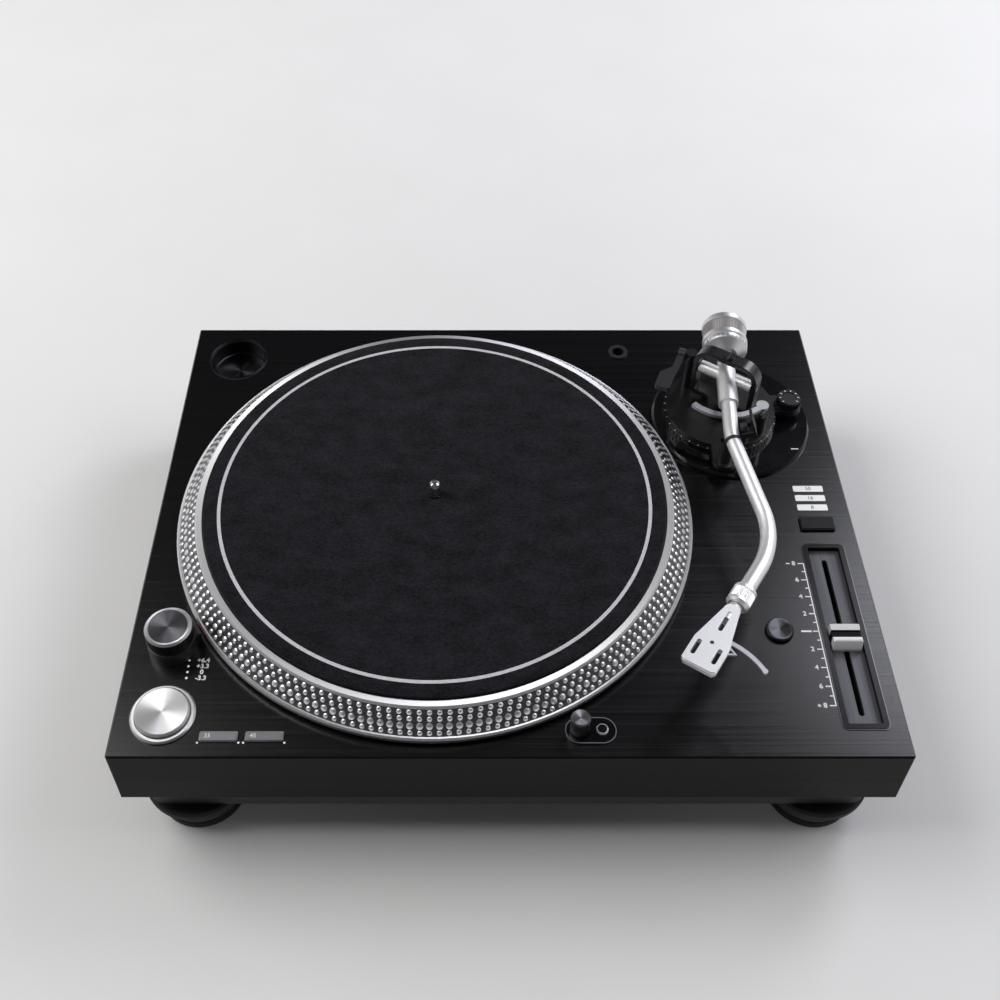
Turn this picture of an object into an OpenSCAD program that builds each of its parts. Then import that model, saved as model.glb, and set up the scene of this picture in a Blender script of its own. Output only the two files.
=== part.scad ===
// Direct drive turntable with a curved tonearm, pitch fader and strobe platter.
// Millimetres. +Z up, +X to the right, +Y to the back. The origin is on the table under the plinth's middle.

/* [Plinth] */
// Width of the plinth, left to right
plinth_w = 453; // [440:1:480]
// Depth of the plinth, front to back
plinth_d = 353; // [345:1:380]
// Height of the top panel above the table
deck_z = 100; // [97:0.5:106]
// Height of the plinth's outer wall
plinth_h = 47; // [45:0.5:50]
// Radius of the plinth's upright corners
plinth_corner_r = 2; // [1:0.5:8]
// Width and height of the bevel along the top edge
plinth_bevel = 1; // [0.5:0.25:2.5]
// How far the wall draws in towards its bottom edge
wall_draw_in = 0.5; // [0.25:0.25:2.5]
// Thickness of the side walls
wall_t = 5; // [4:0.25:6]
// Thickness of the top panel
deck_t = 6; // [5:0.25:7]

/* [Base and feet] */
// How far the base stands in from the plinth's wall
base_inset = 9; // [8:0.5:14]
// How far the base's rim stands in from the plinth's wall
base_rim_inset = 2.5; // [1.5:0.25:4]
// Height of the base below the plinth's wall
base_h = 25; // [24:0.5:27]
// Radius of the base's upright corners
base_corner_r = 12; // [8:1:16]
// Radius of a foot at its top
foot_r = 33.5; // [28:0.5:34]
// Radius of a foot's sole
foot_sole_r = 27.5; // [20:0.5:29]
// Distance from the plinth's side to a foot's middle
foot_from_side = 36.5; // [35:0.5:42]
// Distance from the plinth's front or back to a foot's middle
foot_from_end = 34.5; // [34:0.5:40]
// Radius of a foot's threaded stud
foot_stud_r = 8; // [6:0.5:9]
// Length of a foot's threaded stud
foot_stud_len = 19; // [16:0.5:20]
// Distance from the middle to a base screw, to the left or right
screw_from_middle = 110; // [100:1:116]
// Distance from the front or back to a base screw
screw_from_end = 38.5; // [36:0.5:44]

/* [Terminals] */
// Distance from the middle to the terminal plate's middle, to the left
terminal_from_middle = 110; // [100:1:115]
// Width of the terminal plate
terminal_w = 150; // [145:1:170]
// Height of the terminal plate
terminal_h = 21; // [20.5:0.25:21]
// Distance from the plate's middle to the first signal jack
jack_from_middle = 30; // [24:0.5:34]
// Distance between the signal jacks
jack_pitch = 20; // [16:0.5:22]
// Radius of a signal jack's sleeve
jack_r = 4.15; // [4.1:0.05:4.2]
// Distance from the plate's middle to the ground post
ground_from_middle = 64; // [60:0.5:66]
// Distance from the plate's middle to the mains inlet, to the left
inlet_from_middle = 48; // [40:0.5:50]
// Width of the mains inlet
inlet_w = 30; // [28:0.5:32]
// Height of the mains inlet
inlet_h = 18; // [17:0.25:18]
// Depth of the mains inlet's body
inlet_len = 10; // [9:0.5:14]

/* [Platter] */
// Distance from the plinth's left side to the spindle
spindle_from_left = 181.5; // [180:0.5:186]
// Distance from the plinth's front to the spindle
spindle_from_front = 172.5; // [171:0.5:178]
// Radius of the platter's lip
platter_r = 166; // [162:0.5:167]
// Height of the lip's underside above the panel
lip_gap = 3; // [2.5:0.25:4]
// Thickness of the lip
lip_t = 4.5; // [4:0.25:6]
// Width and height of the sloping strobe band
strobe_band = 11.5; // [10:0.25:12]
// Width of the plain ring between the strobe band and the slipmat
rim_ring_w = 4.5; // [3:0.25:5]
// Thickness of the platter under the slipmat
platter_web_t = 6.5; // [5:0.25:7]
// Radius of the platter's hub
hub_r = 22; // [18:0.5:26]
// Thickness of the slipmat
slipmat_t = 2.7; // [2:0.1:3.5]
// Radius of the spindle's pin
pin_r = 3.6; // [3.5:0.02:3.62]
// Height of the pin above the slipmat
pin_h = 12; // [8:0.5:14]
// Radius of the spindle's shaft in its bearing
shaft_r = 5; // [4:0.25:6]
// Number of ribs under the platter
platter_ribs = 12; // [6:1:18]

/* [Motor and boards] */
// Radius of the motor's hole in the panel
motor_hole_r = 64; // [60:0.5:66]
// Radius of the motor's mounting plate
motor_plate_r = 74; // [70:0.5:78]
// Thickness of the motor's mounting plate
motor_plate_t = 5; // [4:0.25:6]
// Radius of the bearing's tube
bearing_r = 13; // [10:0.5:15]
// Length of the bearing's tube below the plate
bearing_len = 30; // [24:0.5:34]
// Number of motor coils
coil_count = 12; // [6:3:15]
// Radius of one motor coil
coil_r = 9; // [6:0.25:9.5]
// Distance from the spindle to a coil's middle
coil_circle_r = 48; // [44:0.5:50]
// Height of one motor coil
coil_h = 5; // [4:0.25:5.5]
// Inner radius of the rotor magnet
magnet_in_r = 36; // [34:0.5:38]
// Outer radius of the rotor magnet
magnet_out_r = 60; // [58:0.5:66]
// Width of the control board
control_board_w = 120; // [100:1:125]
// Depth of the control board
control_board_d = 90; // [80:1:94]
// Width of the power board
power_board_w = 110; // [104:1:116]
// Depth of the power board
power_board_d = 70; // [64:1:74]

/* [Panel controls] */
// Distance from the left side to the start button's middle
start_from_left = 28.5; // [27:0.5:32]
// Distance from the front to the start button's middle
start_from_front = 26.5; // [25:0.5:30]
// Radius of the start button
start_r = 15.85; // [14:0.05:17]
// Width of the ring around the start button
start_ring_w = 3; // [2:0.1:3.2]
// Height of the ring around the start button
start_ring_h = 2.2; // [1.5:0.1:3]
// Height of the start button above the panel
start_h = 5; // [3:0.1:6]
// Width of a speed button
speed_w = 22; // [16:0.1:23]
// Depth of a speed button
speed_d = 6.2; // [5:0.1:8]
// Height of a speed button above the panel
speed_h = 1.3; // [1:0.1:3]
// Distance from the left side to the first speed button's middle
speed_from_left = 62.2; // [61:0.1:64]
// Distance between the two speed buttons' middles
speed_pitch = 25.9; // [25.5:0.1:28]
// Distance from the front to the speed buttons' middle
speed_from_front = 12.9; // [12:0.1:15]
// Distance from the left side to the power knob's middle
power_from_left = 26.5; // [25:0.5:28]
// Distance from the front to the power knob's middle
power_from_front = 73.5; // [72:0.5:76]
// Radius of the power knob
power_r = 14; // [13:0.1:15]
// Height of the power knob
power_h = 10; // [8:0.1:12]
// Height of the strobe lamp's housing under the power knob
strobe_h = 9.5; // [8:0.1:11]
// How far the strobe lamp's nose stands out towards the platter
strobe_nose = 2.2; // [1.5:0.1:2.4]
// Distance from the right side to the reset button's middle
reset_from_right = 62.3; // [60:0.1:64]
// Radius of the reset button
reset_r = 8.2; // [7:0.1:9]
// Width of the pitch range button
range_w = 22; // [18:0.1:23]
// Depth of the pitch range button
range_d = 10.7; // [8:0.1:11]
// Distance from the front to the pitch range button's middle
range_from_front = 165; // [164:0.1:166]
// Width of a pitch range window
window_w = 20; // [16:0.1:22]
// Depth of a pitch range window
window_d = 5.2; // [4:0.1:6]
// Distance between the pitch range windows
window_pitch = 8; // [7.5:0.1:9]
// Distance from the range button to the nearest window
window_from_range = 14.5; // [14:0.1:16]

/* [Pitch fader] */
// Distance from the right side to the fader's middle
fader_from_right = 23.7; // [23:0.1:26]
// Distance from the front to the fader's zero
fader_from_front = 83.3; // [82:0.1:85]
// Width of the fader's tray
fader_w = 26; // [25:0.1:28]
// Length of the fader's tray
fader_len = 131; // [126:0.5:134]
// Depth of the fader's tray below the panel
fader_sink = 3; // [2:0.1:4]
// Width of the raised rim around the tray
fader_rim_w = 3; // [2:0.1:3.5]
// Width of the fader's cap
cap_w = 17.4; // [15:0.1:18]
// Length of the fader's cap
cap_len = 15.5; // [12:0.1:18]
// Height of the fader's cap
cap_h = 9; // [7:0.1:11]
// How far towards the front of zero the cap stands
fader_offset = 4.8; // [0:0.1:20]

/* [Lamp, cup and socket] */
// Distance from the spindle to the stylus lamp's middle, to the right
lamp_from_spindle = 84.5; // [80:0.5:90]
// Distance from the front to the stylus lamp's middle
lamp_from_front = 16.5; // [16:0.1:18]
// Radius of the stylus lamp's post
lamp_r = 5.6; // [5:0.1:6]
// Height of the raised stylus lamp above the panel
lamp_h = 15; // [10:0.1:18]
// Distance from the lamp to its button
lamp_button_pitch = 12.8; // [12.5:0.1:14]
// Radius of the lamp's button
lamp_button_r = 3.6; // [3:0.1:4]
// Radius of the lamp plate's round ends
lamp_plate_r = 8.2; // [8:0.1:9]
// Distance from the left side to the middle of the cup for a record adapter
cup_from_left = 33.5; // [32:0.5:36]
// Distance from the back to the cup's middle
cup_from_back = 32.5; // [32:0.5:36]
// Radius of the cup
cup_r = 20.2; // [19:0.1:20.5]
// Depth of the cup below the panel
cup_depth = 12; // [8:0.5:15]
// Distance from the right side to the headshell socket's middle
socket_from_right = 139.5; // [136:0.5:142]
// Distance from the back to the headshell socket's middle
socket_from_back = 25.5; // [24:0.5:28]
// Inner radius of the headshell socket
socket_r = 4.15; // [4.1:0.05:4.4]
// Depth of the headshell socket
socket_depth = 18; // [14:0.5:22]

/* [Arm base] */
// Distance from the spindle to the arm's pivot
pivot_distance = 215; // [214:0.1:216]
// Direction from the spindle to the arm's pivot, in degrees
pivot_bearing = 23.95; // [23:0.05:25]
// Radius of the arm base's flange
flange_r = 54.5; // [52:0.5:55]
// Distance from the pivot to the flange's middle, to the right
flange_aside = 8; // [6:0.25:9]
// Distance from the pivot to the flange's middle, to the front
flange_ahead = 1.5; // [0:0.25:3]
// Thickness of the flange
flange_t = 3.5; // [3:0.25:4.5]
// Radius of the arm base's column
column_r = 29; // [27:0.5:30]
// Outer radius of the height ring
height_ring_r = 39; // [38.5:0.1:39.2]
// Thickness of the height ring
height_ring_t = 5; // [4:0.25:6]
// Radius of the platform that carries the arm
platform_r = 37.5; // [37:0.25:39]
// Thickness of the platform that carries the arm
platform_t = 3.5; // [3:0.25:4]
// Radius of the post under the arm's yoke
pivot_post_r = 10; // [8:0.25:11]
// Travel of the arm's height, up
arm_lift_travel = 6; // [4:0.5:6]
// Radius of the anti-skate dial
skate_r = 8.2; // [7:0.1:9]
// Thickness of the anti-skate dial
skate_t = 6; // [4:0.25:7]
// Distance from the pivot to the anti-skate dial's middle, to the right
skate_distance = 47.5; // [46:0.1:49]
// Distance from the pivot to the anti-skate dial's middle, to the back
skate_aside = 2.5; // [0:0.1:4]
// Direction from the pivot to the height lock's hub, in degrees from the front
lock_bearing = -42; // [-46:0.5:-30]
// Distance from the pivot to the height lock's hub
lock_distance = 44; // [43.75:0.25:46]
// Radius of the lift bar's curve about the pivot
lift_r = 31; // [30:0.25:31.5]
// Direction of the lift bar's stem, in degrees from the front
lift_to = 46; // [40:1:50]
// Distance from the pivot to the cue lever's post, to the left
cue_side = 20.5; // [20:0.25:22]
// Distance from the pivot to the cue lever's post, to the back
cue_back = 21.5; // [21:0.25:23]
// Direction of the cue lever, in degrees from the front
cue_heading = -22; // [-30:1:-15]
// Length of the cue lever
cue_len = 38; // [34:0.5:40]
// Length of the cue lever's paddle
cue_paddle_len = 14; // [10:0.5:18]
// Width of the cue lever's paddle
cue_paddle_w = 9; // [7:0.25:11]

/* [Tonearm] */
// Height of the arm's axis above the panel
arm_h = 42; // [41:0.25:45]
// Distance from the pivot to the stylus point
arm_length = 230; // [229:0.1:231]
// Direction from the pivot to the stylus point, in degrees from the front
arm_heading = -11.6; // [-13:0.1:-11]
// Angle between the headshell and the line to the pivot
offset_angle = 22; // [20:0.1:24]
// Angle of the first straight length
first_angle = 7.1; // [5:0.1:9]
// Angle of the second straight length
second_angle = 21.1; // [19:0.1:23]
// Distance from the pivot to the first bend
first_len = 57; // [56:0.1:60]
// Radius of the first bend
first_bend_r = 60; // [40:1:70]
// Radius of the second bend
second_bend_r = 62; // [50:1:70]
// Radius of the arm's tube
tube_r = 4.9; // [4.5:0.05:5.1]
// Radius of the tube's socket at the pivot
tube_socket_r = 6.6; // [6:0.05:7]
// Length of the tube's socket from the pivot
tube_socket_len = 27; // [24:0.5:28]
// Radius of the tilt bearings' barrels
barrel_r = 4.4; // [4:0.05:5]
// Distance from the pivot to the end of a barrel
barrel_reach = 19; // [17:0.1:19.5]
// Thickness of the yoke
yoke_t = 3.5; // [3:0.1:4]
// Width of the yoke
yoke_w = 10; // [9:0.1:11]
// Radius of the yoke's round shoulders
yoke_corner_r = 12; // [8:0.25:14]
// Room between the arm's socket and the yoke's arch
yoke_head = 7.9; // [6:0.1:9]
// Distance from the pivot to the counterweight's front
weight_start = 20.7; // [20:0.1:24]
// Angle of the counterweight's shaft to the first straight length
weight_angle = -2; // [-4:0.1:0]
// Length of the counterweight
weight_len = 21; // [18:0.1:24]
// Radius of the counterweight
weight_r = 15.5; // [14:0.1:16]
// Length of the stylus force dial
force_len = 8; // [6:0.1:9]
// Radius of the counterweight's shaft
weight_shaft_r = 4; // [3:0.1:5]

/* [Headshell] */
// Width of the headshell
shell_w = 21; // [19:0.1:23]
// Width of the headshell at its back
shell_back_w = 9.6; // [8:0.1:12]
// Thickness of the headshell
shell_t = 3.6; // [3:0.1:4.5]
// How far the tip reaches past the stylus point
shell_front = 6; // [5:0.1:8]
// Distance from the stylus point back to the shoulders
shell_shoulder = 12; // [11:0.1:13]
// Distance from the stylus point back to the plate's end
shell_back = 43.4; // [41:0.1:45]
// Distance between the two cartridge slots
slot_spacing = 12.7; // [12:0.1:13]
// Width of a cartridge slot
slot_w = 2.7; // [2.5:0.1:3]
// Length of a cartridge slot
slot_len = 11; // [9:0.1:12]
// Radius of the headshell's neck
neck_r = 4; // [3.6:0.05:4.2]
// Length of the neck between the plate and the collar
neck_len = 1.6; // [1.2:0.1:4]
// Radius of the locking collar
collar_r = 7; // [6.5:0.05:8]
// Length of the locking collar
collar_len = 14; // [12:0.1:16]
// Length of the finger lift beside the headshell
finger_len = 24; // [16:0.5:30]

/* [Hidden] */
$fn = 64;
// Clearances: pieces that seat, pieces that move, turning pins, and slides on a shaft
fit = 0.1;
run = 0.4;
pin_fit = 0.06;
slide_fit = 0.08;
seat_gap = 0.3;
arm_seat_gap = 0.6;
// Overlap that joins two shapes of one solid, and overshoot of a cut
eps = 0.01;
cut = 1;

// Small details
slipmat_edge_gap = 1;
flange_platter_gap = 2.5;
motor_air_gap = 1;
yoke_gap = 0.5;
fader_slot_w = 3.5;
fader_slot_len = 111;
terminal_t = 3;
rest_from_bend = 8;
lock_sweep = 26;
lift_from = -50;
neck_wall = 4.8;
strobe_nose_w = 14;
base_floor_t = 6;
base_wall_t = 8;
wall_draw_h = 19;
base_rim_h = 3;
base_inner_r = 6;
screw_boss_r = 6;
screw_r = 2;
screw_head_r = 4.2;
platter_rib_h = 4;
platter_rib_t = 3;
bearing_rib_len = 30;
bearing_rib_h = 12;
coil_hole_r = 3.6;
core_w = 40;
core_h = 22;
track_w = 16;
track_h = 12;
lock_w = 6;
lift_bar_t = 2.4;
lift_stem_r = 2.7;
lift_housing_r = 5.2;
cue_post_r = 4;
cue_pin_r = 2;
rest_w = 7;
clamp_wall = 4.5;
clamp_open = 70;
yoke_foot_h = 4;
yoke_bevel = 0.6;
finger_back = 20.6;
back_slot_len = 15;
back_slot_from_end = 6.6;
neck_under_plate = 10;
finger_w = 2.6;
finger_t = 1.2;
finger_bend_r = 45;
jack_len = 7.5;
lift_travel = 5;
skate_arm_w = 16;
button_skirt = 5;
lamp_plate_t = 1.2;
spindle_flange_r = 14;
pivot_post_h = 6;
neck_depth = 12;
lip_step = 1.5;
strobe_sink = 0.5;

half_w = plinth_w / 2;
half_d = plinth_d / 2;
plinth_bottom = deck_z - plinth_h;
base_bottom = plinth_bottom - base_h;
deck_under = deck_z - deck_t;

foot_x = half_w - foot_from_side;
foot_y = half_d - foot_from_end;
screw_x = screw_from_middle;
screw_y = half_d - screw_from_end;
screw_head_h = 2.6;
base_lip_h = 4;
foot_boss_wall = 7;
board_z = base_bottom + base_floor_t + 6;
board_t = 1.6;

terminal_x = -terminal_from_middle;
terminal_y = half_d - base_inset;
terminal_drop = 1.5;
terminal_z = base_bottom + base_h / 2 - terminal_drop;
terminal_ledge = 3;
jack_body_r = 4.5;
jack_flange_t = 1.5;
ground_r = 2;
ground_nut_r = 4.2;
jack_x = [jack_from_middle, jack_from_middle + jack_pitch];

spindle_x = spindle_from_left - half_w;
spindle_y = spindle_from_front - half_d;
lip_bottom = deck_z + lip_gap;
lip_top = lip_bottom + lip_t;
band_top = lip_top + strobe_band;
band_out_r = platter_r - lip_step;
band_in_r = band_out_r - strobe_band;
recess_r = band_in_r - rim_ring_w;
recess_z = band_top;
rim_lift = 1;
rim_top = band_top + rim_lift;
web_under = recess_z - platter_web_t;
mat_bottom = recess_z + seat_gap;
mat_top = mat_bottom + slipmat_t;
spindle_flange_gap = 3;
spindle_flange_t = 3;
hub_under = deck_z + spindle_flange_gap + spindle_flange_t;
hub_bore_r = shaft_r + 2;
press_gap = 0.02;
platter_skirt = 20;
bearing_floor_t = 4;
stator_board_t = 1.6;
coil_top = deck_under + stator_board_t + coil_h;
magnet_under = max(coil_top, deck_z) + motor_air_gap;

start_x = start_from_left - half_w;
start_y = start_from_front - half_d;
speed_x = speed_from_left - half_w;
speed_y = speed_from_front - half_d;
power_x = power_from_left - half_w;
power_y = power_from_front - half_d;
fader_x = half_w - fader_from_right;
fader_y = fader_from_front - half_d;
reset_x = half_w - reset_from_right;
range_y = range_from_front - half_d;
lamp_x = spindle_x + lamp_from_spindle;
lamp_y = lamp_from_front - half_d;
cup_x = cup_from_left - half_w;
cup_y = half_d - cup_from_back;
socket_x = half_w - socket_from_right;
socket_y = half_d - socket_from_back;
button_corner_r = 1.1;
window_corner_r = 0.7;
strobe_stem_r = 5.9;
power_pin_r = 3;
lamp_guide_r = lamp_r + run;
lamp_guide_wall = 1.4;
cup_t = 1.2;
well_r = cup_r + fit;
well_low = deck_z - cup_depth - cup_t - fit;
well_wall = 2.8;
well_floor = 2.5;
socket_wall = 2;
tray_floor_t = 2;
tray_floor = deck_z - fader_sink;

pivot_x = spindle_x + pivot_distance * cos(pivot_bearing);
pivot_y = spindle_y + pivot_distance * sin(pivot_bearing);
flange_top = deck_z + flange_t;
ring_bottom = flange_top + run;
ring_top = ring_bottom + height_ring_t;
platform_bottom = ring_top + run;
platform_top = platform_bottom + platform_t;
arm_z = deck_z + arm_h;

first_heading = arm_heading + first_angle;
second_heading = arm_heading + second_angle;
shell_heading = arm_heading - offset_angle;
rear_heading = first_heading + weight_angle;
rear_len = weight_start + force_len + weight_len;

// A unit step along a heading, where 0 points to the front and positive turns to the right
function ahead(h) = [sin(h), -cos(h)];
// A unit step to the right of a heading
function aside(h) = [cos(h), sin(h)];

pivot_point = [pivot_x, pivot_y];
stylus_point = pivot_point + arm_length * ahead(arm_heading);
bend_1 = pivot_point + first_len * ahead(first_heading);
span = stylus_point - bend_1;
second_run = cross(span, ahead(shell_heading)) / cross(ahead(second_heading), ahead(shell_heading));
bend_2 = bend_1 + second_run * ahead(second_heading);
bend_1_cut = first_bend_r * tan(abs(second_heading - first_heading) / 2);
bend_2_cut = second_bend_r * tan(abs(shell_heading - second_heading) / 2);
collar_lip = 3;
tube_end = stylus_point - (shell_back + neck_len + collar_lip) * ahead(shell_heading);

plug_len = 10;
bend_swell = 0.02;
bend_lap = 0.5;
socket_back = 14;
socket_lap = 6;
rear_socket_r = tube_socket_r - 0.7;
rest_distance = first_len - rest_from_bend;
rest_pin_r = 2.5;
rest_post_r = 4.5;
saddle_t = 4;
saddle_lip = 1;
saddle_z = arm_z - tube_r - arm_seat_gap;
clamp_side = tube_r + saddle_lip + clamp_wall / 2 + 0.15;
clamp_z = saddle_z + tube_r;
clamp_pin_r = 1.2;
flange_bevel = 1.5;
rest_arm_r = 8;
tube_ring_t = 0.7;
weight_hub_r = weight_shaft_r + 2;
shaft_tail = 6;
front_band = 4.4;
back_band = 5.4;
force_cone = 4;
yoke_screw_r = 3.4;
lock_hub_r = 4.2;
column_grip = 4;
column_wall = 8;
skate_pin_r = 3;
yoke_pin_r = 3;
tilt_pin_r = 2;
lock_pin_r = 2;
lock_point = pivot_point + lock_distance * ahead(lock_bearing);
lift_point = lift_r * ahead(lift_to);
lift_top = arm_z - tube_r - arm_seat_gap;
lift_floor_t = 1.5;
cue_z = arm_z - cue_pin_r;

// Shared shapes

// A rectangle with round corners, centred
module round_rect(w, d, r) {
    square([w - 2 * r, d], center = true);
    square([w, d - 2 * r], center = true);
    for (x = [-1, 1], y = [-1, 1])
        translate([x * (w / 2 - r), y * (d / 2 - r)]) circle(r = r);
}

// An upright block with round corners, from one height to another
module round_block(w, d, r, low, high) {
    translate([0, 0, low]) linear_extrude(high - low) round_rect(w, d, r);
}

// An upright round bar, from one height to another
module disc(r, low, high) {
    translate([0, 0, low]) cylinder(r = r, h = high - low);
}

// An upright tube, from one height to another
module ring(r_out, r_in, low, high) {
    difference() {
        disc(r_out, low, high);
        disc(r_in, low - cut, high + cut);
    }
}

// A slot with round ends along Y, flat
module slot_shape(w, length) {
    square([w, length - w], center = true);
    for (s = [-1, 1]) translate([0, s * (length - w) / 2]) circle(d = w);
}

// A round bar that runs from a plan point along a heading at the arm's height
module arm_bar(from, h, r, length) {
    translate([from[0], from[1], arm_z]) rotate([90, 0, h]) cylinder(r = r, h = length);
}

// Moves its shapes to the middle of a bend, turned to where the bend starts
module at_bend(corner, from_h, to_h, bend_r) {
    turn = to_h - from_h;
    side = turn > 0 ? 1 : -1;
    start = corner - bend_r * tan(abs(turn) / 2) * ahead(from_h);
    middle = start + side * bend_r * aside(from_h);
    first = turn > 0 ? from_h + 180 : to_h;
    translate([middle[0], middle[1], arm_z]) rotate([0, 0, first]) children();
}

// Moves its shapes to the stylus point, with +Y running forward along the headshell
module at_headshell() {
    translate([stylus_point[0], stylus_point[1], arm_z]) rotate([0, 0, shell_heading + 180]) children();
}

// Moves its shapes to the pivot, with +X along the tilt axis to the right
module at_tilt_axis() {
    translate([pivot_x, pivot_y, arm_z]) rotate([0, 0, shell_heading]) children();
}

// Moves its shapes to the pivot, with +Y running back along the counterweight's shaft
module at_arm_back() {
    translate([pivot_x, pivot_y, arm_z]) rotate([0, 0, rear_heading]) children();
}

// Fine upright grooves around a round bar, as one cutting shape
module knurl_cut(r, count, depth, low, high) {
    for (i = [0 : count - 1]) rotate([0, 0, i * 360 / count])
        translate([r, 0, low]) rotate([0, 0, 45]) translate([-depth, -depth, 0])
            cube([2 * depth, 2 * depth, high - low]);
}

// Repeats its shapes at the four base screws
module at_screws() {
    for (x = [-1, 1], y = [-1, 1]) translate([x * screw_x, y * screw_y]) children();
}

// Plinth and base

// The plinth's outer form: a bevelled top edge, an upright wall and a slight draw-in below
module plinth_profile(half) {
    polygon([
        [-half + wall_draw_in, plinth_bottom], [half - wall_draw_in, plinth_bottom],
        [half, plinth_bottom + wall_draw_h], [half, deck_z - plinth_bevel],
        [half - plinth_bevel, deck_z], [-half + plinth_bevel, deck_z],
        [-half, deck_z - plinth_bevel], [-half, plinth_bottom + wall_draw_h]
    ]);
}

module plinth_form() {
    intersection() {
        round_block(plinth_w, plinth_d, plinth_corner_r, plinth_bottom, deck_z);
        translate([0, half_d + cut, 0]) rotate([90, 0, 0])
            linear_extrude(plinth_d + 2 * cut) plinth_profile(half_w);
        translate([-half_w - cut, 0, 0]) rotate([90, 0, 90])
            linear_extrude(plinth_w + 2 * cut) plinth_profile(half_d);
    }
}

// Every opening through the top panel
module deck_openings() {
    low = deck_under - cut;
    high = deck_z + cut;
    translate([spindle_x, spindle_y]) disc(motor_hole_r, low, high);
    translate([pivot_x, pivot_y]) disc(column_r + neck_wall + fit, deck_under - neck_depth - run, high);
    translate([start_x, start_y]) disc(start_r + run, low, high);
    for (i = [0, 1]) translate([speed_x + i * speed_pitch, speed_y])
        round_block(speed_w + 2 * run, speed_d + 2 * run, button_corner_r + run, low, high);
    translate([power_x, power_y]) disc(strobe_stem_r + fit, low, high);
    translate([reset_x, fader_y]) disc(reset_r + run, low, high);
    translate([fader_x, range_y])
        round_block(range_w + 2 * run, range_d + 2 * run, button_corner_r + run, low, high);
    for (i = [0 : 2]) translate([fader_x, range_y + window_from_range + i * window_pitch])
        round_block(window_w, window_d, window_corner_r + fit, low, high);
    translate([fader_x, fader_y])
        round_block(fader_w + 2 * fit, fader_len + 2 * fit, fader_rim_w + fit, low, high);
    translate([lamp_x, lamp_y]) disc(lamp_guide_r + lamp_guide_wall + fit, low, high);
    translate([lamp_x + lamp_button_pitch, lamp_y]) disc(lamp_button_r + run + fit, low, high);
    translate([cup_x, cup_y]) disc(well_r, well_low, high);
    translate([socket_x, socket_y]) disc(socket_r + socket_wall, low, high);
}

// Plinth: one cast shell with the top panel, walls, and the cup's well
module plinth_shell() {
    color("dimgray") difference() {
        union() {
            difference() {
                plinth_form();
                round_block(plinth_w - 2 * wall_t, plinth_d - 2 * wall_t, plinth_corner_r,
                    plinth_bottom - cut, deck_under);
            }
            translate([cup_x, cup_y])
                disc(well_r + well_wall, well_low - well_floor, deck_under + eps);
            at_screws() disc(screw_boss_r, plinth_bottom + base_lip_h, deck_under + eps);
        }
        deck_openings();
    }
}

// Base: a heavy tub that closes the plinth from below and carries the feet
module base_tub() {
    tub_w = plinth_w - 2 * base_inset;
    tub_d = plinth_d - 2 * base_inset;
    rim_w = plinth_w - 2 * base_rim_inset;
    rim_d = plinth_d - 2 * base_rim_inset;
    lip_w = plinth_w - 2 * wall_t - 2 * fit;
    lip_d = plinth_d - 2 * wall_t - 2 * fit;
    color("black") difference() {
        union() {
            difference() {
                union() {
                    round_block(tub_w, tub_d, base_corner_r, base_bottom, plinth_bottom);
                    round_block(rim_w, rim_d, plinth_corner_r, plinth_bottom - base_rim_h, plinth_bottom);
                    round_block(lip_w, lip_d, plinth_corner_r, plinth_bottom - base_rim_h,
                        plinth_bottom + base_lip_h);
                }
                round_block(tub_w - 2 * base_wall_t, tub_d - 2 * base_wall_t, base_inner_r,
                    base_bottom + base_floor_t, plinth_bottom + base_lip_h + cut);
            }
            for (x = [-1, 1], y = [-1, 1]) translate([x * foot_x, y * foot_y])
                disc(foot_stud_r + foot_boss_wall, base_bottom + eps, plinth_bottom - eps);
            at_screws() disc(screw_boss_r, base_bottom + eps, plinth_bottom + base_lip_h);
        }
        for (x = [-1, 1], y = [-1, 1]) translate([x * foot_x, y * foot_y])
            disc(foot_stud_r + run, base_bottom - cut, base_bottom + foot_stud_len + 2 * cut);
        at_screws() {
            disc(screw_r + fit, base_bottom - cut, plinth_bottom + base_lip_h + cut);
            disc(screw_head_r + run, base_bottom - cut, base_bottom + screw_head_h + run);
        }
        terminal_cut();
    }
}

// Cross-head screws that hold the base to the plinth
module base_screws() {
    low = base_bottom + run;
    color("silver") at_screws() difference() {
        union() {
            disc(screw_head_r, low, low + screw_head_h);
            disc(screw_r, low + screw_head_h - eps, plinth_bottom + base_lip_h);
        }
        translate([0, 0, low]) for (a = [0, 90]) rotate([0, 0, a])
            cube([screw_head_r, 0.9, screw_head_h], center = true);
    }
}

// Connections in the base's back wall

// Moves its shapes to a place on the terminal plate, with +Z running out to the back
module at_terminal(x) {
    translate([terminal_x + x, terminal_y, terminal_z]) rotate([-90, 0, 0]) children();
}

// Opening in the base for the plate, and the room behind it
module terminal_cut() {
    room = inlet_len + cut;
    translate([terminal_x, terminal_y - room / 2, terminal_z])
        cube([terminal_w - 2 * terminal_ledge, room + 2 * cut, terminal_h - 2 * cut], center = true);
    translate([terminal_x, terminal_y, terminal_z])
        cube([terminal_w, 2 * terminal_t, terminal_h], center = true);
}

// Plate that carries the jacks and the mains inlet
module terminal_plate() {
    color("black") difference() {
        translate([terminal_x, terminal_y - terminal_t / 2, terminal_z])
            cube([terminal_w - 2 * fit, terminal_t - fit, terminal_h - 2 * fit], center = true);
        for (x = jack_x) at_terminal(x) disc(jack_body_r + fit, -terminal_t - cut, cut);
        at_terminal(ground_from_middle) disc(ground_r + fit, -terminal_t - cut, cut);
        at_terminal(-inlet_from_middle)
            cube([inlet_w + 2 * fit, inlet_h + 2 * fit, 4 * terminal_t], center = true);
    }
}

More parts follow.
